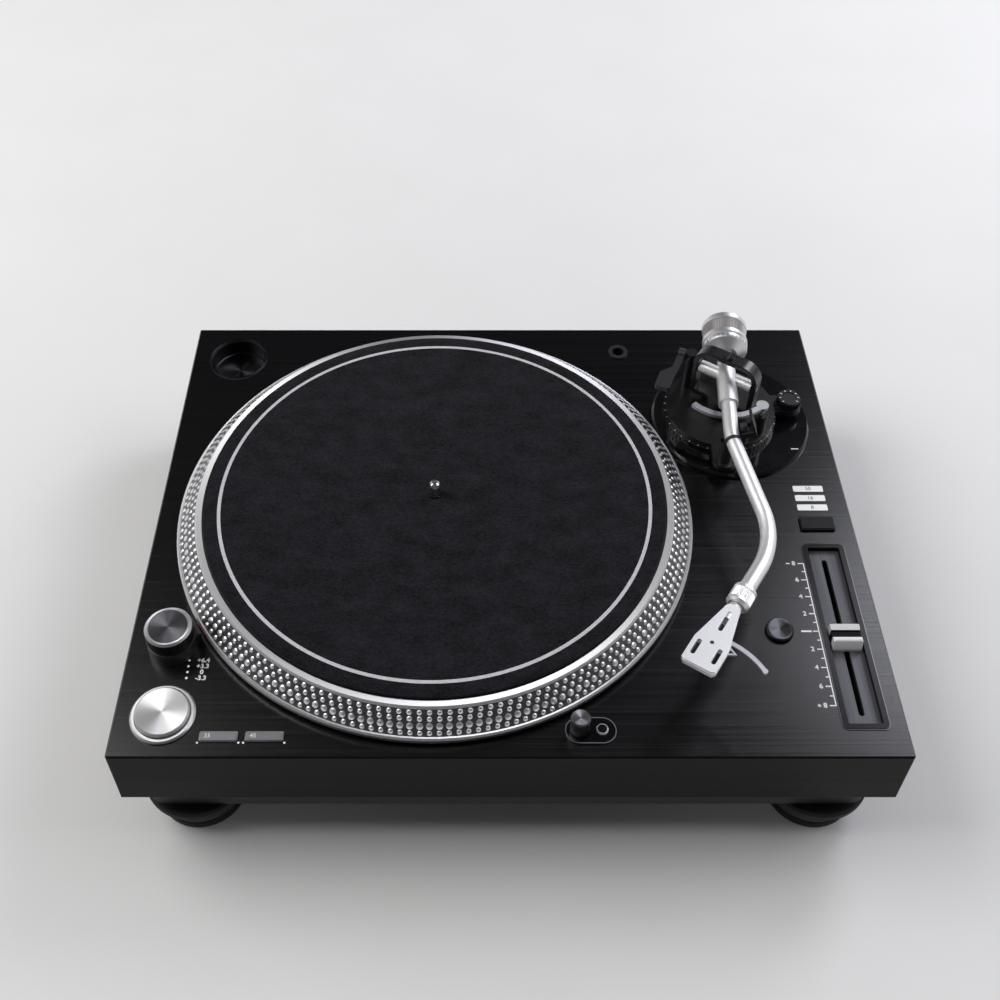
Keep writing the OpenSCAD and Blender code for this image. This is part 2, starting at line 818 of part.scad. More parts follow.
// Two coaxial signal jacks
module signal_jacks() {
    color("gold") for (x = jack_x) at_terminal(x) difference() {
        union() {
            disc(jack_body_r, -terminal_t - 4, eps);
            disc(jack_body_r + 1.5, 0, jack_flange_t);
            disc(jack_r, 0, jack_len);
        }
        disc(1.65, jack_flange_t, jack_len + cut);
    }
}

// Ground post with a knurled nut
module ground_post() {
    color("silver") at_terminal(ground_from_middle) difference() {
        union() {
            disc(ground_r, -terminal_t - 3, 7.5);
            disc(ground_r + 1, 0, 1.2);
            disc(ground_nut_r, 1, 6);
        }
        knurl_cut(ground_nut_r, 16, 0.35, 0.9, 6.1);
    }
}

// Mains inlet with three blades in its cup
module mains_inlet() {
    cup = inlet_len - 2;
    color("black") at_terminal(-inlet_from_middle) {
        difference() {
            union() {
                translate([0, 0, -inlet_len]) linear_extrude(inlet_len + eps)
                    square([inlet_w, inlet_h], center = true);
                linear_extrude(1.6) round_rect(inlet_w + 5, inlet_h + 3, 2);
            }
            translate([0, 0, -cup]) linear_extrude(cup + 4)
                square([inlet_w - 5.4, inlet_h - 3], center = true);
        }
        for (x = [-7, 0, 7]) translate([x, -3, -cup - eps])
            linear_extrude(cup - 1) square([2, 4], center = true);
    }
}

// A foot that screws up and down in the base
module foot_at(x, y) {
    color("black") translate([x, y, 0]) rotate_extrude() polygon([
        [0, 0], [foot_sole_r - 1, 0], [foot_sole_r, 1], [foot_sole_r, 5], [foot_sole_r - 1.5, 6.5],
        [foot_sole_r, 8], [foot_r - 1, base_bottom - 8], [foot_r, base_bottom - 6], [foot_r, base_bottom - 2],
        [foot_r - 1.5, base_bottom - arm_seat_gap], [foot_stud_r, base_bottom - arm_seat_gap],
        [foot_stud_r, base_bottom + foot_stud_len - 1], [foot_stud_r - 1, base_bottom + foot_stud_len],
        [0, base_bottom + foot_stud_len]
    ]);
}

module foot_front_left() foot_at(-foot_x, -foot_y);
module foot_front_right() foot_at(foot_x, -foot_y);
module foot_back_left() foot_at(-foot_x, foot_y);
module foot_back_right() foot_at(foot_x, foot_y);

// Motor and platter

// Motor plate with the spindle's closed bearing tube
module bearing_housing() {
    plate_bottom = deck_under - motor_plate_t;
    color("silver") translate([spindle_x, spindle_y]) difference() {
        union() {
            disc(motor_plate_r, plate_bottom, deck_under);
            disc(bearing_r, plate_bottom - bearing_len, deck_z + cut / 2);
            for (i = [0 : 5]) rotate([0, 0, i * 60])
                translate([bearing_r - 1, -1.5, plate_bottom - bearing_rib_h])
                    cube([bearing_rib_len, 3, bearing_rib_h + eps]);
        }
        disc(shaft_r + pin_fit, plate_bottom - bearing_len + bearing_floor_t, deck_z + cut);
        for (i = [0 : 2]) rotate([0, 0, i * 120 + 30]) translate([motor_plate_r - 5, 0])
            disc(1.7, plate_bottom - cut, deck_under + cut);
    }
}

// Ring board with the motor's coils
module stator() {
    color("peru") translate([spindle_x, spindle_y]) {
        ring(motor_hole_r - 2, bearing_r + fit, deck_under, deck_under + stator_board_t);
        for (i = [0 : coil_count - 1]) rotate([0, 0, i * 360 / coil_count]) translate([coil_circle_r, 0])
            ring(coil_r, coil_hole_r, deck_under + stator_board_t - eps, coil_top);
    }
}

// Rotor magnet under the platter
module rotor_magnet() {
    color("darkslategray") translate([spindle_x, spindle_y])
        ring(magnet_out_r, magnet_in_r, magnet_under, web_under);
}

// Spindle: shaft, seat for the platter and the record's pin
module spindle() {
    shaft_bottom = deck_under - motor_plate_t - bearing_len + bearing_floor_t + run;
    flange_bottom = hub_under - spindle_flange_t;
    pin_low = mat_top + run;
    pin_top = mat_top + pin_h;
    color("silver") translate([spindle_x, spindle_y]) rotate_extrude() polygon([
        [0, shaft_bottom], [shaft_r - 1, shaft_bottom], [shaft_r, shaft_bottom + 1], [shaft_r, flange_bottom],
        [spindle_flange_r, flange_bottom], [spindle_flange_r, hub_under], [hub_bore_r, hub_under],
        [hub_bore_r, recess_z], [pin_r - seat_gap, recess_z], [pin_r - seat_gap, pin_low], [pin_r, pin_low],
        [pin_r, pin_top - 3], [pin_r - 0.6, pin_top - 1.2], [pin_r - 2, pin_top], [0, pin_top]
    ]);
}

// Platter: cast disc with a sloping strobe band around its edge
module platter() {
    bore = hub_bore_r + press_gap;
    skirt_r = platter_r - platter_skirt;
    color("silver") translate([spindle_x, spindle_y]) {
        rotate_extrude($fn = 180) polygon([
            [bore, hub_under], [hub_r, hub_under], [hub_r + 2, web_under],
            [skirt_r, web_under], [skirt_r + 6, lip_bottom], [platter_r - 1, lip_bottom],
            [platter_r, lip_bottom + 1], [platter_r, lip_top - 1], [platter_r - 1, lip_top],
            [band_out_r, lip_top], [band_out_r - strobe_sink, lip_top],
            [band_in_r, band_top - strobe_sink], [band_in_r, band_top],
            [band_in_r - 1, rim_top], [recess_r, rim_top], [recess_r, recess_z], [bore, recess_z]
        ]);
        for (i = [0 : platter_ribs - 1]) rotate([0, 0, i * 360 / platter_ribs])
            translate([magnet_out_r + 4, -platter_rib_t / 2, web_under - platter_rib_h])
                cube([skirt_r - magnet_out_r - 3, platter_rib_t, platter_rib_h + eps]);
    }
}

// Slipmat: felt disc under the record
module slipmat() {
    color("gray") translate([spindle_x, spindle_y])
        ring(recess_r - slipmat_edge_gap, pin_r + seat_gap, mat_bottom, mat_top, $fn = 180);
}

// Boards inside the base

// A board on four posts, centred
module circuit_board(w, d) {
    translate([-w / 2, -d / 2, board_z]) cube([w, d, board_t]);
    for (x = [-1, 1], y = [-1, 1]) translate([x * (w / 2 - 6), y * (d / 2 - 6)])
        disc(3, base_bottom + base_floor_t, board_z + eps);
}

// Board of the motor's drive and the panel's controls
module control_board() {
    color("darkgreen") translate([half_w - 120, -half_d + 105, 0]) {
        circuit_board(control_board_w, control_board_d);
        for (p = [[-30, -10, 22, 16, 3], [8, -20, 26, 26, 4], [12, 22, 30, 8, 9], [-40, 22, 18, 10, 9]])
            translate([p[0], p[1], board_z + board_t - eps]) cube([p[2], p[3], p[4]]);
    }
}

// Board of the power supply with four tall capacitors
module power_board() {
    color("darkgreen") translate([-half_w + 105, half_d - 85, 0]) {
        circuit_board(power_board_w, power_board_d);
        for (x = [18, 34], y = [-14, 8]) translate([x, y])
            disc(6, board_z + board_t - eps, board_z + board_t + 16);
    }
}

// Mains transformer on the power board
module transformer() {
    color("khaki") translate([-half_w + 82, half_d - 85, board_z + board_t + core_h / 2]) {
        cube([core_w, 34, core_h], center = true);
        cube([core_w - 14, 48, core_h - 6], center = true);
    }
}

// Panel controls

// Ring around the start button
module start_ring() {
    out_r = start_r + start_ring_w;
    top = deck_z + start_ring_h;
    color("silver") translate([start_x, start_y]) rotate_extrude() polygon([
        [start_r + run, deck_z], [out_r, deck_z], [out_r, top - 1], [out_r - 1, top], [start_r + run, top]
    ]);
}

// Start and stop button
module start_button() {
    low = deck_under - button_skirt;
    top = deck_z + start_h;
    color("silver") translate([start_x, start_y]) rotate_extrude() polygon([
        [0, low], [start_r - 2, low], [start_r - 2, deck_under - 2], [start_r, deck_under],
        [start_r, top - 1], [start_r - 1, top], [0, top - 0.6]
    ]);
}

module speed_button(place) {
    color("silver") translate([speed_x + place * speed_pitch, speed_y]) {
        step = deck_z + speed_h - 0.6;
        round_block(speed_w, speed_d, button_corner_r, deck_under - button_skirt, step);
        round_block(speed_w - 1, speed_d - 1, button_corner_r / 2, step - eps, deck_z + speed_h);
    }
}

module speed_33_button() speed_button(0);
module speed_45_button() speed_button(1);

// Moves its shapes to the power knob, with +X running towards the spindle
module at_strobe() {
    translate([power_x, power_y, 0])
        rotate([0, 0, atan2(spindle_y - power_y, spindle_x - power_x)]) children();
}

// Housing of the strobe lamp, under the power knob, with its nose towards the platter
module strobe_housing() {
    nose = power_r + strobe_nose;
    color("black") at_strobe() difference() {
        union() {
            disc(power_r + 0.6, deck_z, deck_z + strobe_h);
            translate([0, -strobe_nose_w / 2, deck_z]) cube([nose, strobe_nose_w, strobe_h - 1]);
            disc(strobe_stem_r, deck_under - 3, deck_z + eps);
        }
        disc(power_pin_r + run, deck_under - 4, deck_z + strobe_h + cut);
        translate([nose - 1.5, -strobe_nose_w / 2 + 1.5, deck_z + 1.2])
            cube([1.5 + cut, strobe_nose_w - 3, strobe_h - 3.6]);
    }
}

// Window of the strobe lamp
module strobe_window() {
    nose = power_r + strobe_nose;
    color("red") at_strobe() translate([nose - 1.5, -strobe_nose_w / 2 + 1.5 + fit, deck_z + 1.2 + fit])
        cube([1.4, strobe_nose_w - 3 - 2 * fit, strobe_h - 3.6 - 2 * fit]);
}

// Power knob that turns on the strobe housing
module power_knob() {
    low = deck_z + strobe_h + run;
    color("black") translate([power_x, power_y]) difference() {
        union() {
            rotate_extrude() polygon([
                [0, low], [power_r, low], [power_r, low + power_h - 1.2], [power_r - 1.2, low + power_h],
                [power_r - 2.2, low + power_h], [power_r - 2.6, low + power_h - 0.5], [0, low + power_h - 0.5]
            ]);
            disc(power_pin_r, deck_under - 2, low + eps);
        }
        knurl_cut(power_r, 60, 0.3, low + 0.8, low + power_h - 1.6);
    }
}

// Reset button of the pitch fader
module reset_button() {
    color("black") translate([reset_x, fader_y]) rotate_extrude() polygon([
        [0, deck_under - button_skirt], [reset_r, deck_under - button_skirt], [reset_r, deck_z + 2.2],
        [reset_r - 0.8, deck_z + 3], [reset_r - 1.6, deck_z + 3], [0, deck_z + 2.4]
    ]);
}

// Pitch range button
module range_button() {
    color("black") translate([fader_x, range_y]) {
        round_block(range_w, range_d, button_corner_r, deck_under - button_skirt, deck_z + 1.6);
        round_block(range_w - 1.4, range_d - 1.4, button_corner_r / 2, deck_z + 1.6 - eps, deck_z + 2.2);
    }
}

// Lit windows that show the pitch range
module range_windows() {
    color("white") for (i = [0 : 2]) translate([fader_x, range_y + window_from_range + i * window_pitch])
        round_block(window_w - 2 * fit, window_d - 2 * fit, window_corner_r, deck_under, deck_z + fit);
}

// Sunken tray of the pitch fader
module fader_tray() {
    color("dimgray") translate([fader_x, fader_y]) difference() {
        union() {
            round_block(fader_w, fader_len, fader_rim_w, tray_floor - tray_floor_t, deck_z + eps);
            round_block(fader_w + 1.6, fader_len + 1.6, fader_rim_w + 0.8, deck_z, deck_z + 0.5);
            round_block(fader_w + 0.4, fader_len + 0.4, fader_rim_w + 0.2, deck_z + 0.5 - eps, deck_z + 0.9);
        }
        round_block(fader_w - 2 * fader_rim_w, fader_len - 2 * fader_rim_w, 1, tray_floor, deck_z + 2);
        translate([0, 0, tray_floor - tray_floor_t - 1]) linear_extrude(tray_floor_t + 2)
            slot_shape(fader_slot_w, fader_slot_len);
    }
}

// Track under the tray that the fader's stem runs in
module fader_track() {
    top = tray_floor - tray_floor_t;
    color("silver") translate([fader_x, fader_y]) difference() {
        translate([-track_w / 2, -fader_len / 2 + 3, top - track_h]) cube([track_w, fader_len - 6, track_h]);
        translate([-track_w / 2 + 3, -fader_slot_len / 2 - 2, top - track_h + 2])
            cube([track_w - 6, fader_slot_len + 4, track_h - 3]);
        translate([0, 0, top - 2]) linear_extrude(3) slot_shape(fader_slot_w, fader_slot_len);
    }
}

// Cap and stem of the pitch fader
module fader_cap() {
    low = tray_floor + run;
    waist = cap_w / 2 - 1;
    color("silver") translate([fader_x, fader_y - fader_offset]) {
        difference() {
            translate([-cap_w / 2, 0, low]) rotate([90, 0, 90]) linear_extrude(cap_w) polygon([
                [-cap_len / 2, 0], [cap_len / 2, 0], [cap_len / 2, 2], [cap_len / 2 - 1.6, cap_h - 0.6],
                [cap_len / 2 - 2.4, cap_h], [2.4, cap_h - 1.6], [1.9, cap_h - 2.6], [-1.9, cap_h - 2.6],
                [-2.4, cap_h - 1.6], [-cap_len / 2 + 2.4, cap_h], [-cap_len / 2 + 1.6, cap_h - 0.6],
                [-cap_len / 2, 2]
            ]);
            for (s = [-1, 1]) translate([s * (waist + 1.6), 0, low + cap_h]) rotate([0, s * 30, 0])
                cube([2, cap_len + 2, 2.4], center = true);
        }
        translate([-fader_slot_w / 2 + run, -4, tray_floor - tray_floor_t - 8])
            cube([fader_slot_w - 2 * run, 8, low - tray_floor + tray_floor_t + 8 + eps]);
    }
}

// Plate of the stylus lamp with the lamp's guide below the panel
module lamp_plate() {
    color("black") translate([lamp_x, lamp_y]) difference() {
        union() {
            translate([lamp_button_pitch / 2, 0, deck_z]) linear_extrude(lamp_plate_t) rotate([0, 0, 90])
                slot_shape(2 * lamp_plate_r, lamp_button_pitch + 2 * lamp_plate_r);
            disc(lamp_guide_r + lamp_guide_wall, deck_under - 16, deck_z + eps);
        }
        disc(lamp_guide_r, deck_under - 17, deck_z + lamp_plate_t + cut);
        translate([lamp_button_pitch, 0])
            disc(lamp_button_r + run, deck_z - cut, deck_z + lamp_plate_t + cut);
    }
}

// Pop-up stylus lamp
module stylus_lamp() {
    color("black") translate([lamp_x, lamp_y]) difference() {
        rotate_extrude() polygon([
            [0, deck_under - 15], [lamp_r, deck_under - 15], [lamp_r, deck_z + lamp_h - 0.8],
            [lamp_r - 0.8, deck_z + lamp_h], [0, deck_z + lamp_h - 0.4]
        ]);
        translate([lamp_r - 1.5, -2.5, deck_z + 4]) cube([4, 5, lamp_h - 6.5]);
    }
}

// Button beside the stylus lamp
module lamp_button() {
    color("black") translate([lamp_x + lamp_button_pitch, lamp_y]) rotate_extrude() polygon([
        [0, deck_under - 3], [lamp_button_r, deck_under - 3], [lamp_button_r, deck_z + lamp_plate_t + 1],
        [lamp_button_r - 0.6, deck_z + lamp_plate_t + 1.6], [0, deck_z + lamp_plate_t + 1.8]
    ]);
}

// Open cup in the panel that keeps a record adapter
module adapter_cup() {
    low = deck_z - cup_depth - cup_t;
    rim = cup_r + 1.4;
    color("dimgray") translate([cup_x, cup_y]) rotate_extrude() polygon([
        [0, low], [cup_r, low], [cup_r, deck_z], [rim, deck_z], [rim - 0.4, deck_z + 0.7],
        [cup_r - 0.4, deck_z + 0.7], [cup_r - cup_t, deck_z - 0.4], [cup_r - cup_t, low + cup_t + 0.6],
        [cup_r - cup_t - 0.6, low + cup_t], [0, low + cup_t]
    ]);
}

// Socket in the panel for a spare headshell
module headshell_socket() {
    color("black") translate([socket_x, socket_y]) difference() {
        union() {
            disc(socket_r + socket_wall - fit, deck_z - socket_depth - 2, deck_z + eps);
            disc(socket_r + socket_wall + 1, deck_z, deck_z + 1);
        }
        disc(socket_r, deck_z - socket_depth, deck_z + 1 + cut);
    }
}

// Arm base

// Round flange of the arm base, cut clear of the platter, with the neck that the column slides in
module arm_flange() {
    color("black") difference() {
        union() {
            translate([pivot_x + flange_aside, pivot_y - flange_ahead]) rotate_extrude($fn = 120) polygon([
                [0, deck_z], [flange_r, deck_z], [flange_r, flange_top - flange_bevel],
                [flange_r - flange_bevel, flange_top], [0, flange_top]
            ]);
            translate([pivot_x, pivot_y]) disc(column_r + neck_wall, deck_under - neck_depth, deck_z + cut);
        }
        translate([pivot_x, pivot_y]) disc(column_r + run, deck_under - neck_depth - cut, flange_top + cut);
        translate([spindle_x, spindle_y])
            disc(platter_r + flange_platter_gap, deck_z - cut, flange_top + cut, $fn = 180);
        translate([lock_point[0], lock_point[1]]) disc(lock_pin_r + run, deck_z - cut, flange_top + cut);
    }
}

// Ring that sets the arm's height
module height_ring() {
    color("black") translate([pivot_x, pivot_y]) difference() {
        ring(height_ring_r, column_r + run, ring_bottom, ring_top);
        knurl_cut(height_ring_r, 72, 0.5, ring_bottom + 1, ring_top - 1);
    }
}

// Lever that locks the arm's height
module height_lock() {
    low = flange_top + run;
    color("black") {
        translate([lock_point[0], lock_point[1]]) {
            disc(lock_hub_r, low, low + 4.5);
            disc(lock_pin_r, deck_z + run, low + eps);
        }
        translate([pivot_x, pivot_y, low]) rotate([0, 0, lock_bearing - 90])
            rotate_extrude(angle = lock_sweep) translate([lock_distance - lock_w / 2, 0])
                square([lock_w, 3.5]);
    }
}

// Platform that carries the arm and slides in the flange
module arm_platform() {
    column_low = deck_under - arm_lift_travel - column_grip;
    color("black") difference() {
        translate([pivot_x, pivot_y]) union() {
            disc(column_r, column_low, platform_bottom + eps);
            disc(platform_r, platform_bottom, platform_top);
            disc(pivot_post_r + 4, platform_top - eps, platform_top + 2);
            disc(pivot_post_r, platform_top, platform_top + pivot_post_h);
            translate([0, 0, platform_bottom]) linear_extrude(platform_t) {
                rotate([0, 0, first_heading]) translate([-rest_arm_r, -rest_distance])
                    square([2 * rest_arm_r, rest_distance]);
                rotate([0, 0, first_heading]) translate([0, -rest_distance]) circle(r = rest_arm_r);
                translate([0, skate_aside - skate_arm_w / 2]) square([skate_distance, skate_arm_w]);
                translate([skate_distance, skate_aside]) circle(r = skate_r + 1);
            }
            translate([-cue_side, cue_back]) disc(cue_post_r, platform_top - eps, cue_z + cue_post_r);
        }
        translate([pivot_x, pivot_y]) {
            disc(column_r - column_wall, column_low - cut, platform_bottom - 2);
            disc(yoke_pin_r + pin_fit, platform_bottom - 3, platform_top + pivot_post_h + cut);
            translate([skate_distance, skate_aside])
                disc(skate_pin_r + fit, platform_bottom - cut, platform_top + cut);
            rotate([0, 0, first_heading]) translate([0, -rest_distance])
                disc(rest_pin_r + fit, platform_bottom - cut, platform_top + cut);
            translate([-cue_side, cue_back, cue_z]) rotate([0, 90, cue_heading])
                cylinder(r = cue_pin_r + pin_fit, h = 3 * cue_post_r, center = true);
        }
    }
}

// Moves its shapes to the arm rest, with +X to the right of the tube and +Y to the back
module at_arm_rest() {
    place = pivot_point + rest_distance * ahead(first_heading);
    translate([place[0], place[1], 0]) rotate([0, 0, first_heading]) children();
}

// Post and saddle that the arm lies on
module arm_rest() {
    color("black") at_arm_rest() {
        disc(rest_pin_r, platform_bottom, platform_top + eps);
        disc(rest_post_r, platform_top, saddle_z - saddle_t + eps);
        difference() {
            union() {
                translate([-tube_r - saddle_lip, -rest_w / 2, saddle_z - saddle_t])
                    cube([2 * (tube_r + saddle_lip) + clamp_wall, rest_w, saddle_t]);
                translate([tube_r + saddle_lip, -rest_w / 2, saddle_z - eps])
                    cube([clamp_wall, rest_w, tube_r + 3]);
            }
            translate([clamp_side, rest_w, clamp_z]) rotate([90, 0, 0])
                cylinder(r = clamp_pin_r + slide_fit, h = 2 * rest_w);
        }
    }
}

// Clip that swings over the tube on its rest, shown open
module arm_clamp() {
    cheek_t = 1.6;
    cheek_y = rest_w / 2 + run;
    color("black") at_arm_rest() translate([clamp_side, 0, clamp_z]) rotate([0, clamp_open, 0]) {
        translate([0, cheek_y + cheek_t, 0]) rotate([90, 0, 0])
            cylinder(r = clamp_pin_r, h = 2 * (cheek_y + cheek_t));
        for (y = [cheek_y, -cheek_y - cheek_t]) translate([-1.8, y, -1.8])
            cube([3.6, cheek_t, tube_r + 3.5]);
        translate([-2 * tube_r - 4, -cheek_y - cheek_t, tube_r + 1.6])
            cube([2 * tube_r + 5.8, 2 * (cheek_y + cheek_t), 1.6]);
    }
}

// Housing that the arm lift's stem slides in
module lift_housing() {
    color("black") translate([pivot_x + lift_point[0], pivot_y + lift_point[1], 0]) difference() {
        disc(lift_housing_r, platform_top, lift_top - lift_bar_t - lift_travel - arm_seat_gap);
        disc(lift_stem_r + run, platform_top + lift_floor_t, lift_top);
    }
}

// Curved bar that raises the arm
module lift_bar() {
    color("silver") {
        translate([pivot_x, pivot_y, lift_top - lift_bar_t]) rotate([0, 0, lift_from - 90])
            rotate_extrude(angle = lift_to - lift_from) translate([lift_r - 2, 0]) square([4, lift_bar_t]);
        translate([pivot_x + lift_point[0], pivot_y + lift_point[1], 0])
            disc(lift_stem_r, platform_top + lift_floor_t + lift_travel + run, lift_top - lift_bar_t + eps);
        translate([pivot_x + lift_point[0], pivot_y + lift_point[1], 0])
            disc(lift_stem_r + 1.5, lift_top - lift_bar_t, lift_top);
    }
}

// Cue lever with its finger paddle
module cue_lever() {
    hub = cue_post_r + run;
    hub_w = 5;
    paddle_start = cue_len - cue_paddle_len;
    paddle_side = hub + cue_paddle_w + 2.5;
    color("black") translate([pivot_x - cue_side, pivot_y + cue_back, cue_z]) rotate([0, 0, cue_heading]) {
        rotate([0, 90, 0]) disc(cue_post_r, -hub - hub_w, -hub);
        rotate([0, 90, 0]) disc(cue_pin_r, -hub - 1, hub);
        translate([0, 0, -1.6]) linear_extrude(3.2) polygon([
            [-hub - hub_w, 0], [-hub, 0], [-hub, -paddle_start + 10], [-hub - 1, -paddle_start],
            [-hub - 1, -cue_len + 1.5], [-hub - 2.5, -cue_len], [-paddle_side + 1.5, -cue_len],
            [-paddle_side, -cue_len + 1.5], [-paddle_side, -paddle_start], [-hub - hub_w, -paddle_start + 8]
        ]);
    }
}

// Dial that sets the anti-skate force
module anti_skate_dial() {
    low = platform_top + run;
    color("black") translate([pivot_x + skate_distance, pivot_y + skate_aside]) difference() {
        union() {
            disc(skate_r, low, low + skate_t - 0.8);
            disc(skate_r - 0.8, low, low + skate_t);
            disc(skate_pin_r, platform_bottom, low + eps);
        }
        knurl_cut(skate_r, 36, 0.5, low + 1, low + skate_t + cut);
        disc(skate_r - 3, low + skate_t - 0.6, low + skate_t + cut);
    }
}

// Tonearm

// An upright outline with large round shoulders above and small round corners below, flat
module arch_shape(half, low, high, top_r, low_r) {
    translate([-half, low + low_r]) square([2 * half, high - top_r - low - low_r]);
    translate([-half + top_r, low + low_r]) square([2 * (half - top_r), high - low - low_r]);
    translate([-half + low_r, low]) square([2 * (half - low_r), high - top_r - low]);
    for (s = [-1, 1]) {
        translate([s * (half - top_r), high - top_r]) circle(r = top_r);
        translate([s * (half - low_r), low + low_r]) circle(r = low_r);
    }
}

// One layer of the yoke's arch, drawn in all round by a bevel
module yoke_layer(from, to, draw) {
    leg = barrel_reach + yoke_gap;
    low = platform_top + pivot_post_h + run - arm_z;
    arch = tube_socket_r + yoke_head;
    translate([0, to, 0]) rotate([90, 0, 0]) linear_extrude(to - from) difference() {
        arch_shape(leg + yoke_t - draw, low + draw, arch + yoke_t - draw, yoke_corner_r - draw, yoke_foot_h);
        arch_shape(leg + draw, low + yoke_foot_h - draw, arch + draw, yoke_corner_r - yoke_t + draw, 1);
    }
}

// Yoke that turns on the post and carries the tilt bearings
module yoke() {
    half = barrel_reach + yoke_gap + yoke_t;
    low = platform_top + pivot_post_h + run - arm_z;
    top = tube_socket_r + yoke_head + yoke_t;
    edge = yoke_w / 2 - yoke_bevel;
    color("black") at_tilt_axis() difference() {
        union() {
            yoke_layer(-edge, edge, 0);
            yoke_layer(-yoke_w / 2, -edge + eps, yoke_bevel);
            yoke_layer(edge - eps, yoke_w / 2, yoke_bevel);
            disc(pivot_post_r, low, low + yoke_foot_h);
            disc(yoke_pin_r, low - 11, low + eps);
            disc(yoke_screw_r, top - 1, top + 1.6);
        }
        translate([-half - cut, 0, 0]) rotate([0, 90, 0])
            cylinder(r = tilt_pin_r + pin_fit, h = 2 * (half + cut));
        translate([-0.5, -yoke_screw_r - cut, top + 0.8]) cube([1, 2 * (yoke_screw_r + cut), 2]);
    }
}

// Pivot block of the arm with its two bearing barrels and its sockets for tube and shaft
module arm_pivot() {
    pin_end = barrel_reach + yoke_gap + yoke_t - seat_gap;
    color("silver") {
        at_tilt_axis() {
            rotate([0, 90, 0]) disc(barrel_r, -barrel_reach, barrel_reach);
            rotate([0, 90, 0]) disc(tilt_pin_r, -pin_end, pin_end);
        }
        arm_bar(pivot_point - socket_lap * ahead(first_heading), first_heading, tube_socket_r,
            socket_lap + tube_socket_len);
        at_arm_back() rotate([-90, 0, 0]) disc(rear_socket_r, -2, socket_back);
    }
}

// One bend of the arm's tube, a hair wider so that the straight ends run into it
module tube_bend(corner, from_h, to_h, bend_r) {
    at_bend(corner, from_h, to_h, bend_r) rotate_extrude(angle = abs(to_h - from_h))
        translate([bend_r, 0]) circle(r = tube_r + bend_swell);
}

// Curved tube of the arm, bored at its end for the headshell's plug
module arm_tube() {
    start_1 = pivot_point + tube_socket_len * ahead(first_heading);
    start_2 = bend_1 + (bend_1_cut - bend_lap) * ahead(second_heading);
    start_3 = bend_2 + (bend_2_cut - bend_lap) * ahead(shell_heading);
    color("silver") difference() {
        union() {
            arm_bar(start_1, first_heading, tube_r, first_len - bend_1_cut - tube_socket_len + bend_lap);
            tube_bend(bend_1, first_heading, second_heading, first_bend_r);
            arm_bar(start_2, second_heading, tube_r, second_run - bend_1_cut - bend_2_cut + 2 * bend_lap);
            tube_bend(bend_2, second_heading, shell_heading, second_bend_r);
            arm_bar(start_3, shell_heading, tube_r, norm(tube_end - start_3));
        }
        arm_bar(tube_end - plug_len * ahead(shell_heading), shell_heading, neck_r + run, plug_len + cut);
    }
}

// Dark ring around the tube at its first bend
module tube_ring() {
    at_bend(bend_1, first_heading, second_heading, first_bend_r) color("black")
        rotate([0, 0, 9]) rotate_extrude(angle = 2) translate([first_bend_r, 0]) difference() {
            circle(r = tube_r + tube_ring_t);
            circle(r = tube_r + bend_swell + pin_fit);
        }
}

// Shaft behind the pivot that the counterweight slides on
module weight_shaft() {
    color("silver") at_arm_back() rotate([-90, 0, 0])
        disc(weight_shaft_r, socket_back, rear_len + shaft_tail);
}

// Counterweight with polished end rings and a grooved waist
module counterweight() {
    low = weight_start + force_len + seat_gap;
    high = low + weight_len;
    bore = weight_shaft_r + slide_fit;
    waist = weight_r - 0.6;
    color("silver") at_arm_back() rotate([-90, 0, 0]) difference() {
        rotate_extrude($fn = 96) polygon([
            [bore, weight_start], [weight_hub_r, weight_start], [weight_hub_r, low], [weight_r - 1, low],
            [weight_r, low + 1], [weight_r, low + front_band], [waist, low + front_band + 0.6],
            [waist, high - back_band - 0.6], [weight_r, high - back_band], [weight_r, high - 1.5],
            [weight_r - 1.5, high], [weight_r - 4, high], [weight_r - 5, high - 1], [bore, high - 1]
        ]);
        knurl_cut(waist, 80, 0.3, low + front_band + 0.8, high - back_band - 0.8);
    }
}

// Stylus force dial that turns on the counterweight's hub
module force_dial() {
    bore = weight_hub_r + slide_fit;
    rim = weight_r - 0.4;
    color("silver") at_arm_back() rotate([-90, 0, 0]) rotate_extrude($fn = 96) polygon([
        [bore, weight_start], [weight_hub_r + 2, weight_start], [rim - 0.8, weight_start + force_cone],
        [rim, weight_start + force_cone + 1], [rim, weight_start + force_len],
        [bore, weight_start + force_len]
    ]);
}

// Headshell

// Collar that locks the headshell in the tube
module locking_collar() {
    back = shell_back + neck_len + collar_len;
    bore = tube_r + slide_fit;
    shoulder = collar_len - collar_lip + run;
    color("silver") at_headshell() translate([0, -back, 0]) rotate([-90, 0, 0]) difference() {
        rotate_extrude() polygon([
            [bore, 0], [collar_r - 1, 0], [collar_r, 1], [collar_r, collar_len - 1.5],
            [collar_r - 1.5, collar_len], [neck_r + run, collar_len], [neck_r + run, shoulder],
            [bore, shoulder]
        ]);
        knurl_cut(collar_r, 36, 0.4, 3, collar_len - 3);
    }
}

// Headshell plate with cartridge slots, neck and plug
module headshell() {
    plate_low = neck_r + 0.3 - shell_t;
    color("silver") at_headshell() {
        difference() {
            union() {
                translate([0, 0, plate_low]) linear_extrude(shell_t - 0.8) shell_outline(0);
                translate([0, 0, plate_low + shell_t - 0.8 - eps]) linear_extrude(0.8) shell_outline(0.8);
            }
            translate([0, 0, plate_low - cut]) linear_extrude(shell_t + 2 * cut) {
                for (s = [-1, 1]) translate([s * slot_spacing / 2, -slot_len / 2]) slot_shape(slot_w, slot_len);
                translate([0, -shell_back + back_slot_from_end + back_slot_len / 2])
                    slot_shape(slot_w, back_slot_len);
                translate([0, -shell_shoulder - 0.6]) circle(r = 1.2);
            }
        }
        translate([0, -shell_back - neck_len - collar_lip - plug_len + 1, 0]) rotate([-90, 0, 0])
            cylinder(r = neck_r, h = neck_len + collar_lip + plug_len + neck_under_plate);
    }
}

